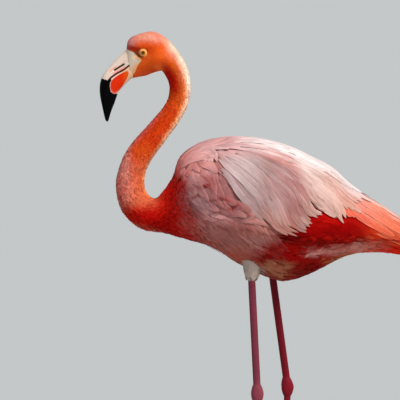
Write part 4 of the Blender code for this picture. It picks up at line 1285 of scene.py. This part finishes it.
def legMesh(leg):
    top = leg["hip"][1] - legForm["top"]
    z = top - np.arange(int((top - legForm["end"]) / legForm["step"]) + 1) * legForm["step"]
    x, radii = legLine(leg, z)
    end = leg["featherEnd"][1]
    inset = np.interp(z, [end - 4, end + 6, leg["knee"][1], leg["hip"][1]], [0, 0.9, 2.2, 4.0])
    angles = turnAngles(legForm["around"])
    cosine, sine = np.cos(angles)[None, :], np.sin(angles)[None, :]
    # scutes: low plates stepped down the front and back of the bare leg
    bare = ease((end - z) / 12)[:, None]
    plate = ((z / legForm["plate"]) % 1.0)[:, None]
    scute = legForm["plateRise"] * (ease(plate / legForm["plateEdge"]) - 0.5) * np.abs(cosine) ** 3 * bare
    # the ankle's knob is flat at its sides with a groove between two condyles behind and in front
    knob = np.exp(-(((z - leg["ankle"][1]) / legForm["knobReach"]) ** 2))[:, None]
    groove = -legForm["knobGroove"] * knob * np.exp(-(cosine**2) * 6)
    groove = groove + legForm["knobRidge"] * knob * np.abs(cosine) ** 6
    grow = scute + groove - inset[:, None]
    points = np.stack([x[:, None] + (radii[:, :1] + grow) * cosine,
                       legForm["stance"] * leg["side"] + (radii[:, 1:] + grow) * sine,
                       z[:, None] + 0 * cosine], axis=-1)
    return tubeMesh("leg", points)


footForm = {
    "toes": [("inner", -25.0, 62.0), ("middle", 3.0, 75.0), ("outer", 28.0, 67.0)],  # turn outwards, length
    "toeRadii": (5.0, 3.1), "toeHeights": (7.4, 2.6), "toeDrop": 3.2,
    "hub": (11.0, 9.5, 9.0), "hubHeight": 7.8, "hubTable": (24, 32), "hubPole": 0.02,
    # the stub of the shank over the hub: top, foot, heights and flare
    "stub": (27.0, 8.0, 20), "stubFlare": ([8.0, 19.0, 27.0], [1.5, 0.3, -0.15]),
    "webHeight": (0.9, 2.5), "webShare": 0.9, "webHollow": 0.72, "webRoot": 6.0,
    "hind": (19.0, 4.2, 13.0), "hindRadii": (4.2, 2.6), "hindStart": 2.0, "hindTurn": 18.0,  # length, heights
    "knuckles": {"inner": (0.30, 0.66), "middle": (0.26, 0.54, 0.80), "outer": (0.22, 0.44, 0.64, 0.82),
                 "hind": (0.55,)},
    "claw": 8.5, "hindClaw": 6.0, "clawRadii": (2.7, 0.8), "hindClawRadii": (2.3, 0.7),
    "clawOverlap": 0.9, "clawSpare": 1.2,  # how far a claw's root runs back into its toe
    "voxel": 1.0, "smooth": (0.5, 3),
}


def toeRings(root, turn, length, radii, heights, drop, start=0.0, knuckles=(), steps=40, around=20):
    # heights fall as (1 - t) ^ drop; each knuckle swells the toe, and the sole is flat on the floor
    t = np.linspace(0, 1, steps)[:, None]
    angles = turnAngles(around)[None, :]
    heading = np.array([-math.cos(turn), math.sin(turn)])
    swell = sum((np.exp(-(((t - k) / 0.05) ** 2)) for k in knuckles), 0 * t)
    radius = (radii[0] + (radii[1] - radii[0]) * t) * (0.93 + 0.13 * swell)
    height = heights[1] + (heights[0] - heights[1]) * (1 - t) ** drop
    across = radius * np.cos(angles)
    x = root[0] + heading[0] * (start + t * length) - heading[1] * across
    y = root[1] + heading[1] * (start + t * length) + heading[0] * across
    z = np.maximum(height + radius * np.sin(angles), 0.0)
    return np.stack([x, y, z], axis=-1)


def joinMeshes(name, meshes):
    points, faces, count = [], [], 0
    for mesh in meshes:
        points += [v.co[:] for v in mesh.vertices]
        faces += [[count + i for i in p.vertices] for p in mesh.polygons]
        count += len(mesh.vertices)
        bpy.data.meshes.remove(mesh)
    joined = bpy.data.meshes.new(name)
    joined.from_pydata(points, [], faces)
    return joined


def modified(mesh, kind, **values):
    # the mesh after one modifier, with its old data dropped
    obj = newObject(mesh.name, mesh)
    modifier = obj.modifiers.new(kind, kind)
    for key, value in values.items():
        setattr(modifier, key, value)
    bpy.context.view_layer.update()
    made = bpy.data.meshes.new_from_object(obj.evaluated_get(bpy.context.evaluated_depsgraph_get()))
    bpy.data.objects.remove(obj)
    return made


def united(first, second):
    helper = newObject("helper", second)
    made = modified(first, "BOOLEAN", operation="UNION", solver="MANIFOLD", object=helper)
    bpy.data.objects.remove(helper)
    return made


def webMesh(root, side):
    # a thin sheet between the toes whose edge is drawn in midway: reach = length x (1 - hollow sin(pi t))
    turns = np.radians([toe[1] for toe in footForm["toes"]]) * side
    reaches = np.array([toe[2] for toe in footForm["toes"]]) * footForm["webShare"]
    t = np.linspace(0, 2, 49)
    turn, reach = np.interp(t, [0, 1, 2], turns), np.interp(t, [0, 1, 2], reaches)
    reach = reach * (1 - (1 - footForm["webHollow"]) * np.sin(math.pi * (t % 1.0)))
    x = np.append(root[0] - reach * np.cos(turn), root[0] + footForm["webRoot"])
    y = np.append(root[1] + reach * np.sin(turn), root[1])
    ring = np.stack([x, y], axis=1)[::side]
    sheet = [np.column_stack([ring, np.full(len(ring), z)]) for z in footForm["webHeight"]]
    return tubeMesh("web", np.stack(sheet))


def eachToe(leg):
    # each toe's name, and the root, turn, length, radii, heights, drop and start of its flesh and its claw
    root, side = (leg["foot"][0], legForm["stance"] * leg["side"]), leg["side"]
    overlap, spare = footForm["clawOverlap"], footForm["clawSpare"]
    high, low = footForm["toeHeights"]
    for toe, degrees, length in footForm["toes"]:
        turn = math.radians(degrees) * side
        flesh = (root, turn, length, footForm["toeRadii"], (high, low), footForm["toeDrop"], 0.0)
        claw = (root, turn, footForm["claw"] + spare, footForm["clawRadii"], (low + 0.3, 1.0), 1.0,
                length - overlap)
        yield toe, flesh, claw
    length, low, high = footForm["hind"]
    turn, start = math.pi + math.radians(footForm["hindTurn"]) * side, footForm["hindStart"]
    flesh = (root, turn, length, footForm["hindRadii"], (high, low), footForm["toeDrop"], start)
    claw = (root, turn, footForm["hindClaw"] + spare, footForm["hindClawRadii"], (low, low - 1.8), 1.0,
            start + length - overlap)
    yield "hind", flesh, claw


def footMesh(leg):
    side, root = leg["side"], (leg["foot"][0], legForm["stance"] * leg["side"])
    meshes = [tubeMesh("toe", toeRings(*flesh, knuckles=footForm["knuckles"][toe]))
              for toe, flesh, claw in eachToe(leg)]
    # the hub's rounded block, and the stub of the shank above it
    rows, around = footForm["hubTable"]
    polar = np.linspace(footForm["hubPole"], math.pi - footForm["hubPole"], rows)[:, None]
    angles = turnAngles(around)[None, :]
    a, b, c = footForm["hub"]
    hub = np.stack([root[0] + a * np.sin(polar) * np.cos(angles),
                    root[1] + b * np.sin(polar) * np.sin(angles),
                    np.maximum(footForm["hubHeight"] + c * np.cos(polar) + 0 * angles, 0.0)], axis=-1)
    z = np.linspace(*footForm["stub"])
    x, radii = legLine(leg, z)
    flare = np.interp(z, *footForm["stubFlare"])[:, None]
    stub = np.stack([x[:, None] + (radii[:, :1] + flare) * np.cos(angles),
                     root[1] + (radii[:, 1:] + flare) * np.sin(angles), z[:, None] + 0 * angles], axis=-1)
    meshes += [tubeMesh("hub", hub), tubeMesh("stub", stub), webMesh(root, side)]
    joined = joinMeshes("foot", meshes)
    fused = modified(joined, "REMESH", mode="VOXEL", voxel_size=footForm["voxel"] * mm, use_smooth_shade=True)
    factor, turns = footForm["smooth"]
    fused = modified(fused, "SMOOTH", factor=factor, iterations=turns)
    points = meshPoints(fused)
    points[:, 2] = np.maximum(points[:, 2], 0.0)
    fused.vertices.foreach_set("co", (points * mm).astype(np.float32).ravel())
    return fused


skinForm = {
    "headStep": 0.8, "neckStep": 3.0, "trunkStep": 4.5, "around": 128,
    # ridges and grooves of the bare face: start x, z, end x, z, half width, height
    "folds": [(-228.5, 887.6, -218.0, 882.4, 1.7, 1.3), (-228.0, 891.8, -216.5, 886.4, 1.4, -0.9)],
    "faceLow": 840, "bareLegTop": 499,  # heights: nothing bare under the face's but the legs
    "legColour": (0.18, 0.028, 0.046), "jointColour": (0.24, 0.045, 0.065), "jointReach": (297.5, 22),
    # farLegShade: painted shade on the far leg, which stands in the body's shadow
    "farLegShade": (0.86, 0.14, 0.22), "soleColour": (0.30, 0.10, 0.09), "ringColour": (0.774, 0.378, 0.135),
    "underCoatShade": 0.8,  # painted shade: how much darker the skin is made under the feathers
}


def faceFolds(x, z):
    grow = 0 * x
    for line in skinForm["folds"]:
        far, t = nearLine(x, z, line)
        grow = grow + line[5] * np.exp(-((far / line[4]) ** 2)) * np.sin(math.pi * np.clip(t, 0.08, 0.92))
    return grow


def skinMesh():
    places = np.concatenate([
        np.arange(0, neckStartPlace, skinForm["headStep"]),
        np.arange(neckStartPlace, neckEndPlace, skinForm["neckStep"]),
        np.arange(neckEndPlace, bodyLength, skinForm["trunkStep"]), [bodyLength - 1.0]])
    angles = turnAngles(skinForm["around"])
    s, a = np.meshgrid(places, angles, indexing="ij")
    point, normal, along, around = readForm(bodyShape, s, a)
    grow = faceFolds(point[..., 0], point[..., 2]) * (s < neckStartPlace)
    return tubeMesh("skin", point + normal * (grow - depthAt(s))[..., None])


def faceColour(x, z):
    face = np.tile(np.array(bareFace["colour"]), (len(x), 1))
    margin = faceMargin(x, z)
    ridge, groove = (nearLine(x, z, line)[0] for line in skinForm["folds"])
    pale = np.maximum(ease((4.5 + margin) / 5.0) * ease((884 - z) / 14), np.exp(-((ridge / 2.6) ** 2)))
    face = blend(face, pale, bareFace["foldColour"])
    face = blend(face, ease((880 - z) / 10) * ease((12.0 + margin) / 8.0) * 0.8, bareFace["lowColour"])
    return blend(face, np.exp(-((groove / 1.6) ** 2)) * 0.75, bareFace["grooveColour"])


def legColour(points):
    z = points[:, 2]
    middle, reach = skinForm["jointReach"]
    colour = np.array(skinForm["legColour"])
    colour = blend(colour, np.exp(-(((z - middle) / reach) ** 2)), skinForm["jointColour"])
    # painted shade: the far leg darker and redder, as in the body's shadow
    colour = colour * np.where(points[:, 1:2] > 0, skinForm["farLegShade"], 1.0)
    return blend(colour, ease((3.0 - z) / 3), skinForm["soleColour"])


def skinColour(points):
    x, z = points[:, 0], points[:, 2]
    onHead = z > skinForm["faceLow"]
    bare = ease((1.2 - faceMargin(x, z)) / 2.4) * (x < -205) * onHead
    # the skin under the feathers carries the coat's colours darkened as painted shade
    colour = blend(washColour(points) * skinForm["underCoatShade"], bare, faceColour(x, z))
    colour = blend(colour, ease((1.08 - eyeFar(x, z)) / 0.1) * onHead, skinForm["ringColour"])
    return blend(colour, ease((skinForm["bareLegTop"] - z) / 4), legColour(points))


def skinMaterials():
    coat, tree, shader = newMaterial("coatSkin", Roughness=0.8, Specular_IOR_Level=0.2)
    link(tree, attributeColour(tree, "tint"), shader.inputs["Base Color"])
    addBump(tree, shader, groupNode(tree, grainGroup, Scale=900.0)["Height"], 0.5, 0.0006)
    face, tree, shader = newMaterial("faceSkin", Roughness=0.55, Specular_IOR_Level=0.35,
                                     Subsurface_Weight=0.12, Subsurface_Radius=(0.004, 0.0015, 0.001))
    blotches = groupNode(tree, grainGroup, Scale=260.0, Detail=2.0, Amount=0.35, Floor=0.82)
    link(tree, mottled(tree, "tint", blotches["Shade"]), shader.inputs["Base Color"])
    fine = groupNode(tree, grainGroup, Scale=1400.0, Detail=4.0, Roughness=0.6)
    addBump(tree, shader, fine["Height"], 0.6, 0.0005)
    leg, tree, shader = newMaterial("legSkin", Roughness=0.5, Specular_IOR_Level=0.1)
    mottle = groupNode(tree, grainGroup, Scale=220.0, Amount=0.5, Floor=0.75)
    link(tree, mottled(tree, "tint", mottle["Shade"]), shader.inputs["Base Color"])
    # scales: cells of about 2 mm
    cells = node(tree, "ShaderNodeTexVoronoi", feature="DISTANCE_TO_EDGE")
    cells.inputs["Scale"].default_value = 430.0
    link(tree, node(tree, "ShaderNodeTexCoord").outputs["Object"], cells.inputs["Vector"])
    edge = maths(tree, "MINIMUM", maths(tree, "MULTIPLY", cells.outputs["Distance"], 5.0), 1.0)
    addBump(tree, shader, edge, 0.5, 0.0004)
    return [coat, face, leg]


def makeSkin():
    whole = skinMesh()
    for name in ("left", "right"):
        whole = united(whole, united(legMesh(legForm[name]), footMesh(legForm[name])))
    whole.name = "skin"
    setColours(whole, "tint", skinColour(meshPoints(whole)))
    whole.materials.clear()
    x, y, z = readAll(whole.polygons, "center", 3).T / mm
    onFace = (z > skinForm["faceLow"]) & (x < -200) & ((faceMargin(x, z) < 0.8) | (eyeFar(x, z) < 1.05))
    kinds = np.where(onFace, 1, np.where(z < skinForm["bareLegTop"], 2, 0)).astype(np.int32)
    whole.polygons.foreach_set("material_index", kinds)
    whole.shade_smooth()
    flesh = [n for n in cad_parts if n.split("_")[0] in
             ("head", "neck", "trunk", "tail", "wing", "thigh", "shin", "ankle", "shank", "foot")]
    skin = addPiece("skin", whole, skinMaterials(), flesh)
    print("skin:", len(whole.polygons), "faces in place of", len(flesh), "solids")
    return skin


skinPiece = makeSkin()

eyeLook = {
    "tilt": (0.06, 0.04), "pupil": 1.9, "iris": 4.25, "irisColour": (0.50, 0.18, 0.02),
    "pupilColour": (0.003, 0.003, 0.003), "limbus": (0.05, 0.025, 0.01), "white": (0.16, 0.07, 0.02),
    "rampEnd": 8.0, "rings": 40, "around": 48, "pole": 0.03,
    # the opening's half length and half height, its slope, and the lids' outer rim
    "opening": (4.2, 3.8), "slope": -14.0, "rim": (8.0, 8.4), "lidColour": (0.95, 0.40, 0.10),
    "lidEdge": (0.20, 0.07, 0.02), "lidShade": (0.30, 0.12, 0.03),
    "lidRings": (96, 30), "lidStand": 0.7, "foldHeight": 0.34, "folds": 5.0, "marginHeight": 0.30,
    # painted olive shade in the lid's creases: share of the way in, half width, strength, how far it varies,
    # darkest turn in degrees
    "creases": [(0.50, 0.09, 0.45, 0.40, 215), (0.12, 0.10, 0.25, 0.25, 230)],
}


def eyeBall(name, side, material):
    # a sphere about the eye's middle with its pole on the line of sight
    rows, around = eyeLook["rings"], eyeLook["around"]
    axis = unit(np.array([eyeLook["tilt"][0], side, eyeLook["tilt"][1]]))
    first = unit(np.cross(axis, (0, 0, 1.0)))
    second = np.cross(axis, first)
    polar = np.linspace(eyeLook["pole"], math.pi - eyeLook["pole"], rows)[:, None]
    turn = -turnAngles(around)[None, :]
    direction = (np.cos(polar)[..., None] * axis + (np.sin(polar) * np.cos(turn))[..., None] * first
                 + (np.sin(polar) * np.sin(turn))[..., None] * second)
    middle = np.array(eyeForm["middle"]) * (1, side, 1)
    mesh = tubeMesh("eyeball_" + name, middle + direction * eyeForm["radius"])
    fromAxis = np.sin(np.minimum(polar, math.pi / 2)) * eyeForm["radius"]
    setValues(mesh, "gaze", np.repeat(fromAxis, around, 1))
    addPiece("eyeball_" + name, mesh, [material], ["eye_" + name])


def eyeMaterial():
    ball, tree, shader = newMaterial("eyeball", Roughness=0.2, Specular_IOR_Level=0.15, Coat_Weight=0.35,
                                     Coat_Roughness=0.02)
    share = maths(tree, "DIVIDE", node(tree, "ShaderNodeAttribute", attribute_name="gaze").outputs["Fac"],
                  eyeLook["rampEnd"])
    grain = groupNode(tree, grainGroup, Scale=1500.0, Detail=2.0)["Height"]
    ramp = node(tree, "ShaderNodeValToRGB")
    link(tree, maths(tree, "ADD", share, maths(tree, "MULTIPLY_ADD", grain, 0.03, -0.015)), ramp.inputs[0])
    stops = ramp.color_ramp.elements
    pupil, iris = eyeLook["pupil"] / eyeLook["rampEnd"], eyeLook["iris"] / eyeLook["rampEnd"]
    inner, middle, outer = (tuple(c * tone for c in eyeLook["irisColour"]) for tone in (0.45, 1.0, 0.8))
    for at, colour in ((pupil, eyeLook["pupilColour"]), (pupil + 0.02, inner), (pupil + 0.10, middle),
                       (iris - 0.06, outer), (iris, eyeLook["limbus"]), (iris + 0.08, eyeLook["white"])):
        stops.new(at).color = (*colour, 1.0)
    stops.remove(stops[0])
    stops.remove(stops[-1])
    link(tree, ramp.outputs[0], shader.inputs["Base Color"])
    return ball


def skinSide(x, z):
    # the skin's half width at side-view points, found by rays cast in from the side
    starts = [(a * mm, 0.1, b * mm) for a, b in zip(x.ravel(), z.ravel())]
    found = [skinPiece.ray_cast(start, (0, -1, 0))[1][1] / mm for start in starts]
    return np.array(found).reshape(x.shape)


def lidOpening(turn):
    # a rounded slit, narrower towards its corners and turned by the slope
    slope = math.radians(eyeLook["slope"])
    across = eyeLook["opening"][0] * np.cos(turn)
    up = eyeLook["opening"][1] * np.sin(turn) * (0.84 + 0.16 * np.abs(np.sin(turn)))
    return np.stack([across * math.cos(slope) - up * math.sin(slope),
                     across * math.sin(slope) + up * math.cos(slope)], -1)


def lidMesh(side):
    # Round the ring of skin: turn 0 to 2 pi. Across it: from the rim sunk in the skin, over two low folds
    # to the margin, and back along the eyeball, so the piece is a closed ring.
    around, steps = eyeLook["lidRings"]
    turn = turnAngles(around)[:, None]
    t = np.linspace(0, 1, steps)[None, :]
    outer = np.stack([eyeLook["rim"][0] * np.cos(turn), eyeLook["rim"][1] * np.sin(turn)], -1)
    plane = outer + (lidOpening(turn) - outer) * t[..., None]
    x, z = plane[..., 0] + eyeForm["middle"][0], plane[..., 1] + eyeForm["middle"][2]
    ball = np.sqrt(np.maximum(eyeForm["radius"] ** 2 - plane[..., 0] ** 2 - plane[..., 1] ** 2, 0.4))
    onBall = eyeForm["middle"][1] + ball
    rim = skinSide(x[:, 0], z[:, 0])[:, None]
    # height = rim (1 - share) + (eyeball + stand) share + folds, share rising as sin
    share = np.sin(np.clip(t * 1.12, 0, 1) * math.pi / 2)
    waves = np.sin(t * math.pi * eyeLook["folds"] - 1.2 + 0.4 * np.sin(turn + 0.7))
    folds = eyeLook["foldHeight"] * waves * np.sin(math.pi * t) ** 0.7
    y = rim * (1 - share) + (onBall + eyeLook["lidStand"]) * share + folds - 0.6 * (1 - ease(t / 0.10))
    y = y + eyeLook["marginHeight"] * np.exp(-(((t - 0.93) / 0.06) ** 2))
    top = np.stack([x, y, z], -1)
    # the way back lies under the top, a little inside the eyeball's surface near the margin
    back = np.stack([x, np.minimum(y - 1.0, onBall - 0.25 * share), z], -1)[:, ::-1]
    ring = np.concatenate([top, back], axis=1) * (1, side, 1)
    rows, across = ring.shape[:2]
    i, j = np.meshgrid(np.arange(rows), np.arange(across), indexing="ij")
    nextRow, nextPoint = (i + 1) % rows, (j + 1) % across
    corners = ((i, j), (nextRow, j), (nextRow, nextPoint), (i, nextPoint))
    quads = np.stack([row * across + point for row, point in corners], -1).reshape(-1, 4)
    mesh = buildMesh("lids", ring.reshape(-1, 3), quads[:, ::-side])
    edge = np.exp(-(((t - 1.0) / 0.07) ** 2)) + 0 * turn
    # painted shade in the lid's creases, darkest towards the lower left
    crease = 0 * edge
    for at, half, least, more, darkest in eyeLook["creases"]:
        dark = least + more * np.cos(turn - math.radians(darkest))
        crease = crease + np.exp(-(((t - at) / half) ** 2)) * dark
    edge, crease = (np.concatenate([v, v[:, ::-1]], axis=1).ravel() for v in (edge, crease))
    colours = blend(np.array(eyeLook["lidColour"]), edge, eyeLook["lidEdge"])
    setColours(mesh, "tint", blend(colours, np.clip(crease, 0, 1), eyeLook["lidShade"]))
    return mesh


def makeEyes():
    ball = eyeMaterial()
    face = bpy.data.materials["faceSkin"]
    for name, side in (("left", -1), ("right", 1)):
        eyeBall(name, side, ball)
        addPiece("lids_" + name, lidMesh(side), [face])
    print("eyes and lids made")


makeEyes()

billForm = {
    # culmen x, z, meeting line x, z, underside x, z, half widths of the upper and lower halves
    "rows": [
        (-241.6, 898.6, -236.4, 872.2, -232.0, 850.2, 12.6, 11.6),
        (-244.2, 899.0, -238.7, 871.8, -233.9, 849.0, 13.5, 12.5),
        (-257.6, 886.7, -248.5, 864.0, -239.2, 845.2, 11.6, 11.8),
        (-272.1, 870.6, -261.1, 857.1, -249.4, 834.8, 10.8, 12.2),
        (-284.4, 855.8, -271.9, 848.8, -257.2, 826.0, 10.6, 12.4),
        (-290.2, 839.1, -280.7, 835.6, -260.9, 817.2, 9.8, 11.4),
        (-290.5, 821.6, -283.2, 817.2, -265.5, 804.1, 8.0, 9.2),
        (-287.0, 801.5, -282.4, 798.9, -270.7, 791.0, 5.6, 6.2),
        (-281.8, 778.5, -279.2, 777.0, -275.4, 775.5, 2.6, 2.8),
        (-279.4, 773.4, -278.5, 773.0, -277.4, 773.0, 0.9, 1.0),
    ],
    "seam": 0.02, "along": 150, "across": 75, "crowding": 0.6,  # points closer together by the seam
    "groove": (0.30, 0.06, -0.5), "lip": (0.12, 0.08, 0.25),  # share of the way up, half width, height
    "dent": (0.5, 4.0),  # round the nostril
    "nostril": (-264.5, 863.6, -248.6, 873.6, 1.3, 2.6),  # a slit: start, end, half width, depth
    "rosyStripes": [(-267.0, 857.8, -246.0, 869.6, 1.0), (-272.0, 861.5, -262.0, 869.8, 0.9),
                    (-244.5, 866.6, -254.0, 864.0, 0.9)],
    # outline of the orange patch, clockwise on the side view
    "patch": [(-240.5, 864.0), (-238.8, 857.0), (-244.0, 844.5), (-258.8, 824.4), (-264.6, 821.2),
              (-271.2, 826.0), (-273.0, 836.0), (-270.8, 846.0), (-262.0, 854.2), (-251.5, 860.2)],
    "patchRound": 1.5,
    "lineHalf": (1.7, 2.5),  # reach of the dark meeting line on the lower and the upper half
}
billColours = {
    "pale": (0.78, 0.60, 0.50), "base": (0.74, 0.60, 0.46), "orange": (0.72, 0.028, 0.004),
    "pink": (0.84, 0.17, 0.12), "lilac": (0.76, 0.58, 0.60), "black": (0.002, 0.0018, 0.0018),
    "tan": (0.84, 0.44, 0.20), "slit": (0.07, 0.010, 0.008), "line": (0.09, 0.010, 0.008),
    "orangeChange": (0.05, 0.06, 0.0),  # towards the face
}


def billTint(x, z, upper, along, gap):
    # upper half: pale with rosy stripes beside the slit; lower half: an orange patch in a pale rim; a dark
    # line where the halves meet
    tint = np.tile(np.array(billColours["pale"]), (*x.shape, 1))
    fromFace = ease((along - 0.03) / 0.16)[..., None]
    tint = np.array(billColours["base"]) * (1 - fromFace) + tint * fromFace
    if upper:
        tint = blend(tint, ease((z - 852) / -10) * 0.5, billColours["lilac"])
        for line in billForm["rosyStripes"]:
            tint = blend(tint, 0.8 * np.exp(-((nearLine(x, z, line)[0] / line[4]) ** 2)), billColours["pink"])
        tint = blend(tint, ease((2.2 - nearLine(x, z, billForm["nostril"])[0]) / 1.2), billColours["slit"])
    else:
        inside = -patchFar(x, z)
        tint = blend(tint, ease((x + 257) / 8) * ease((along - 0.02) / 0.05) * 0.6, billColours["tan"])
        near = ease((x + 254) / 12)[..., None]
        orange = np.array(billColours["orange"]) + near * np.array(billColours["orangeChange"])
        tint = blend(tint, ease((inside + 0.6) / 1.4), orange)
        rim = ease((836 - z) / 10) * ease((3.4 - inside) / 2.4) * ease((inside + 0.8) / 0.8) * 0.55
        tint = blend(tint, rim, billColours["pink"])
    dark = ease((billForm["lineHalf"][1 if upper else 0] - gap) / 0.8) * ease((along - 0.035) / 0.06)
    return blend(tint, dark, billColours["line"])


def patchFar(x, z):
    # how far (mm) a side-view point lies outside the lower bill's orange patch, a rounded outline of
    # straight sides: soft ln(sum of exp(distance beyond each side / soft))
    corners, soft = np.array(billForm["patch"]), billForm["patchRound"]
    total = 0.0
    for start, end in zip(corners, np.roll(corners, -1, 0)):
        headingX, headingZ = (end - start) / np.linalg.norm(end - start)
        beyond = (x - start[0]) * -headingZ + (z - start[1]) * headingX
        total = total + np.exp(np.clip(beyond / soft, -20, 20))
    return soft * np.log(total)


def blackEdge(x, z, upper):
    # how far (mm) a side-view point lies beyond the black tip's edge
    if upper:
        return 846.8 - z - 0.25 * (x + 278.0)
    beyond = (x + 271.0) * -0.942 + (z - 850.0) * -0.336
    below = (822.5 - z) + (x + 262.0) * -0.15
    return np.minimum(np.maximum(beyond, below), patchFar(x, z) - 0.4)


def billMesh(upper):
    # an arch from the meeting line to the culmen or the underside: seam + sin(a)^0.85 (edge - seam),
    # across = sign(cos a) |cos a|^0.9 x half width
    last = len(billForm["rows"]) - 1
    rows = smoothRows(np.arange(last + 1), billForm["rows"], np.linspace(0, last, billForm["along"]))
    edge = rows[:, 0:2] if upper else rows[:, 4:6]
    seam = rows[:, 2:4] + unit(edge - rows[:, 2:4]) * billForm["seam"]
    width = rows[:, 6] if upper else rows[:, 7]
    along = np.linspace(0, 1, billForm["along"])[:, None]
    share = np.linspace(0, 1, billForm["across"])[None, :]
    arch = math.pi * (share - billForm["crowding"] * np.sin(2 * math.pi * share) / (2 * math.pi))
    rise = np.sin(arch) ** 0.85
    side = np.sign(np.cos(arch)) * np.abs(np.cos(arch)) ** 0.9 * width[:, None] * (1 if upper else -1)
    x = seam[:, :1] + rise * (edge - seam)[:, :1]
    z = seam[:, 1:] + rise * (edge - seam)[:, 1:]
    # relief across the side: a groove above the meeting line's lip, and the nostril's slit
    groove, lip = (height * np.exp(-(((rise - at) / half) ** 2))
                   for at, half, height in (billForm["groove"], billForm["lip"]))
    grow = groove * ease(along / 0.1) * ease((0.92 - along) / 0.1) + lip
    if upper:
        far = nearLine(x, z, billForm["nostril"])[0]
        for depth, half in ((billForm["nostril"][5], billForm["nostril"][4]), billForm["dent"]):
            grow = grow - depth * np.exp(-((far / half) ** 2))
    points = np.stack([x, side + np.sign(side) * grow * ease(np.abs(side) / 3.0), z], -1)
    mesh = tubeMesh("bill", points)
    gap = rise * np.linalg.norm(edge - seam, axis=1)[:, None]
    setColours(mesh, "tint", billTint(x, z, upper, along + 0 * x, gap).reshape(-1, 3))
    setValues(mesh, "tipEdge", blackEdge(x, z, upper))
    return mesh


def billMaterial():
    material, tree, shader = newMaterial("billHorn", Roughness=0.5, Specular_IOR_Level=0.03)
    beyond = node(tree, "ShaderNodeAttribute", attribute_name="tipEdge").outputs["Fac"]
    ragged = groupNode(tree, grainGroup, Scale=420.0)["Height"]
    black = node(tree, "ShaderNodeMapRange", interpolation_type="SMOOTHSTEP")
    black.inputs["From Min"].default_value = -0.5
    black.inputs["From Max"].default_value = 0.6
    wander = maths(tree, "MULTIPLY_ADD", ragged, 3.0, -1.5)
    link(tree, maths(tree, "ADD", beyond, wander), black.inputs["Value"])
    mottle = groupNode(tree, grainGroup, Scale=500.0, Detail=4.0, Roughness=0.6, Amount=0.4, Floor=0.8)
    tint = mottled(tree, "tint", mottle["Shade"])
    link(tree, mixColour(tree, black.outputs[0], tint, billColours["black"]), shader.inputs["Base Color"])
    fine = groupNode(tree, grainGroup, Scale=700.0, Detail=4.0, Roughness=0.6)
    addBump(tree, shader, fine["Height"], 0.25, 0.0004)
    return material


horn = billMaterial()
for half in ("upper", "lower"):
    addPiece(f"bill_{half}_horn", billMesh(half == "upper"), [horn], ["bill_" + half])
print("bill made")


def makeClaws():
    meshes, names = [], []
    for name in ("left", "right"):
        for toe, flesh, claw in eachToe(legForm[name]):
            meshes.append(tubeMesh("claw", toeRings(*claw, steps=14, around=16)))
            names.append(f"claw_{name}_{toe}")
    material, tree, shader = newMaterial("clawHorn", Base_Color=(0.035, 0.022, 0.020, 1), Roughness=0.35)
    grain = groupNode(tree, grainGroup, Scale=600.0, Stretch=(1.0, 1.0, 3.0))
    addBump(tree, shader, grain["Height"], 0.2, 0.0003)
    joined = joinMeshes("claws", meshes)
    joined.shade_smooth()
    addPiece("claws", joined, [material], names)
    print("claws made:", len(names))


makeClaws()

for tractName, tract in tracts.items():
    growFeathers(tractName, tract)
for legName in ("left", "right"):
    thigh = dict(thighTract, seed=thighTract["seed"] + len(legName))  # a seed for each side
    growFeathers("coat_thigh_" + legName, thigh, legShape(legForm[legName]))
print("coat grown")
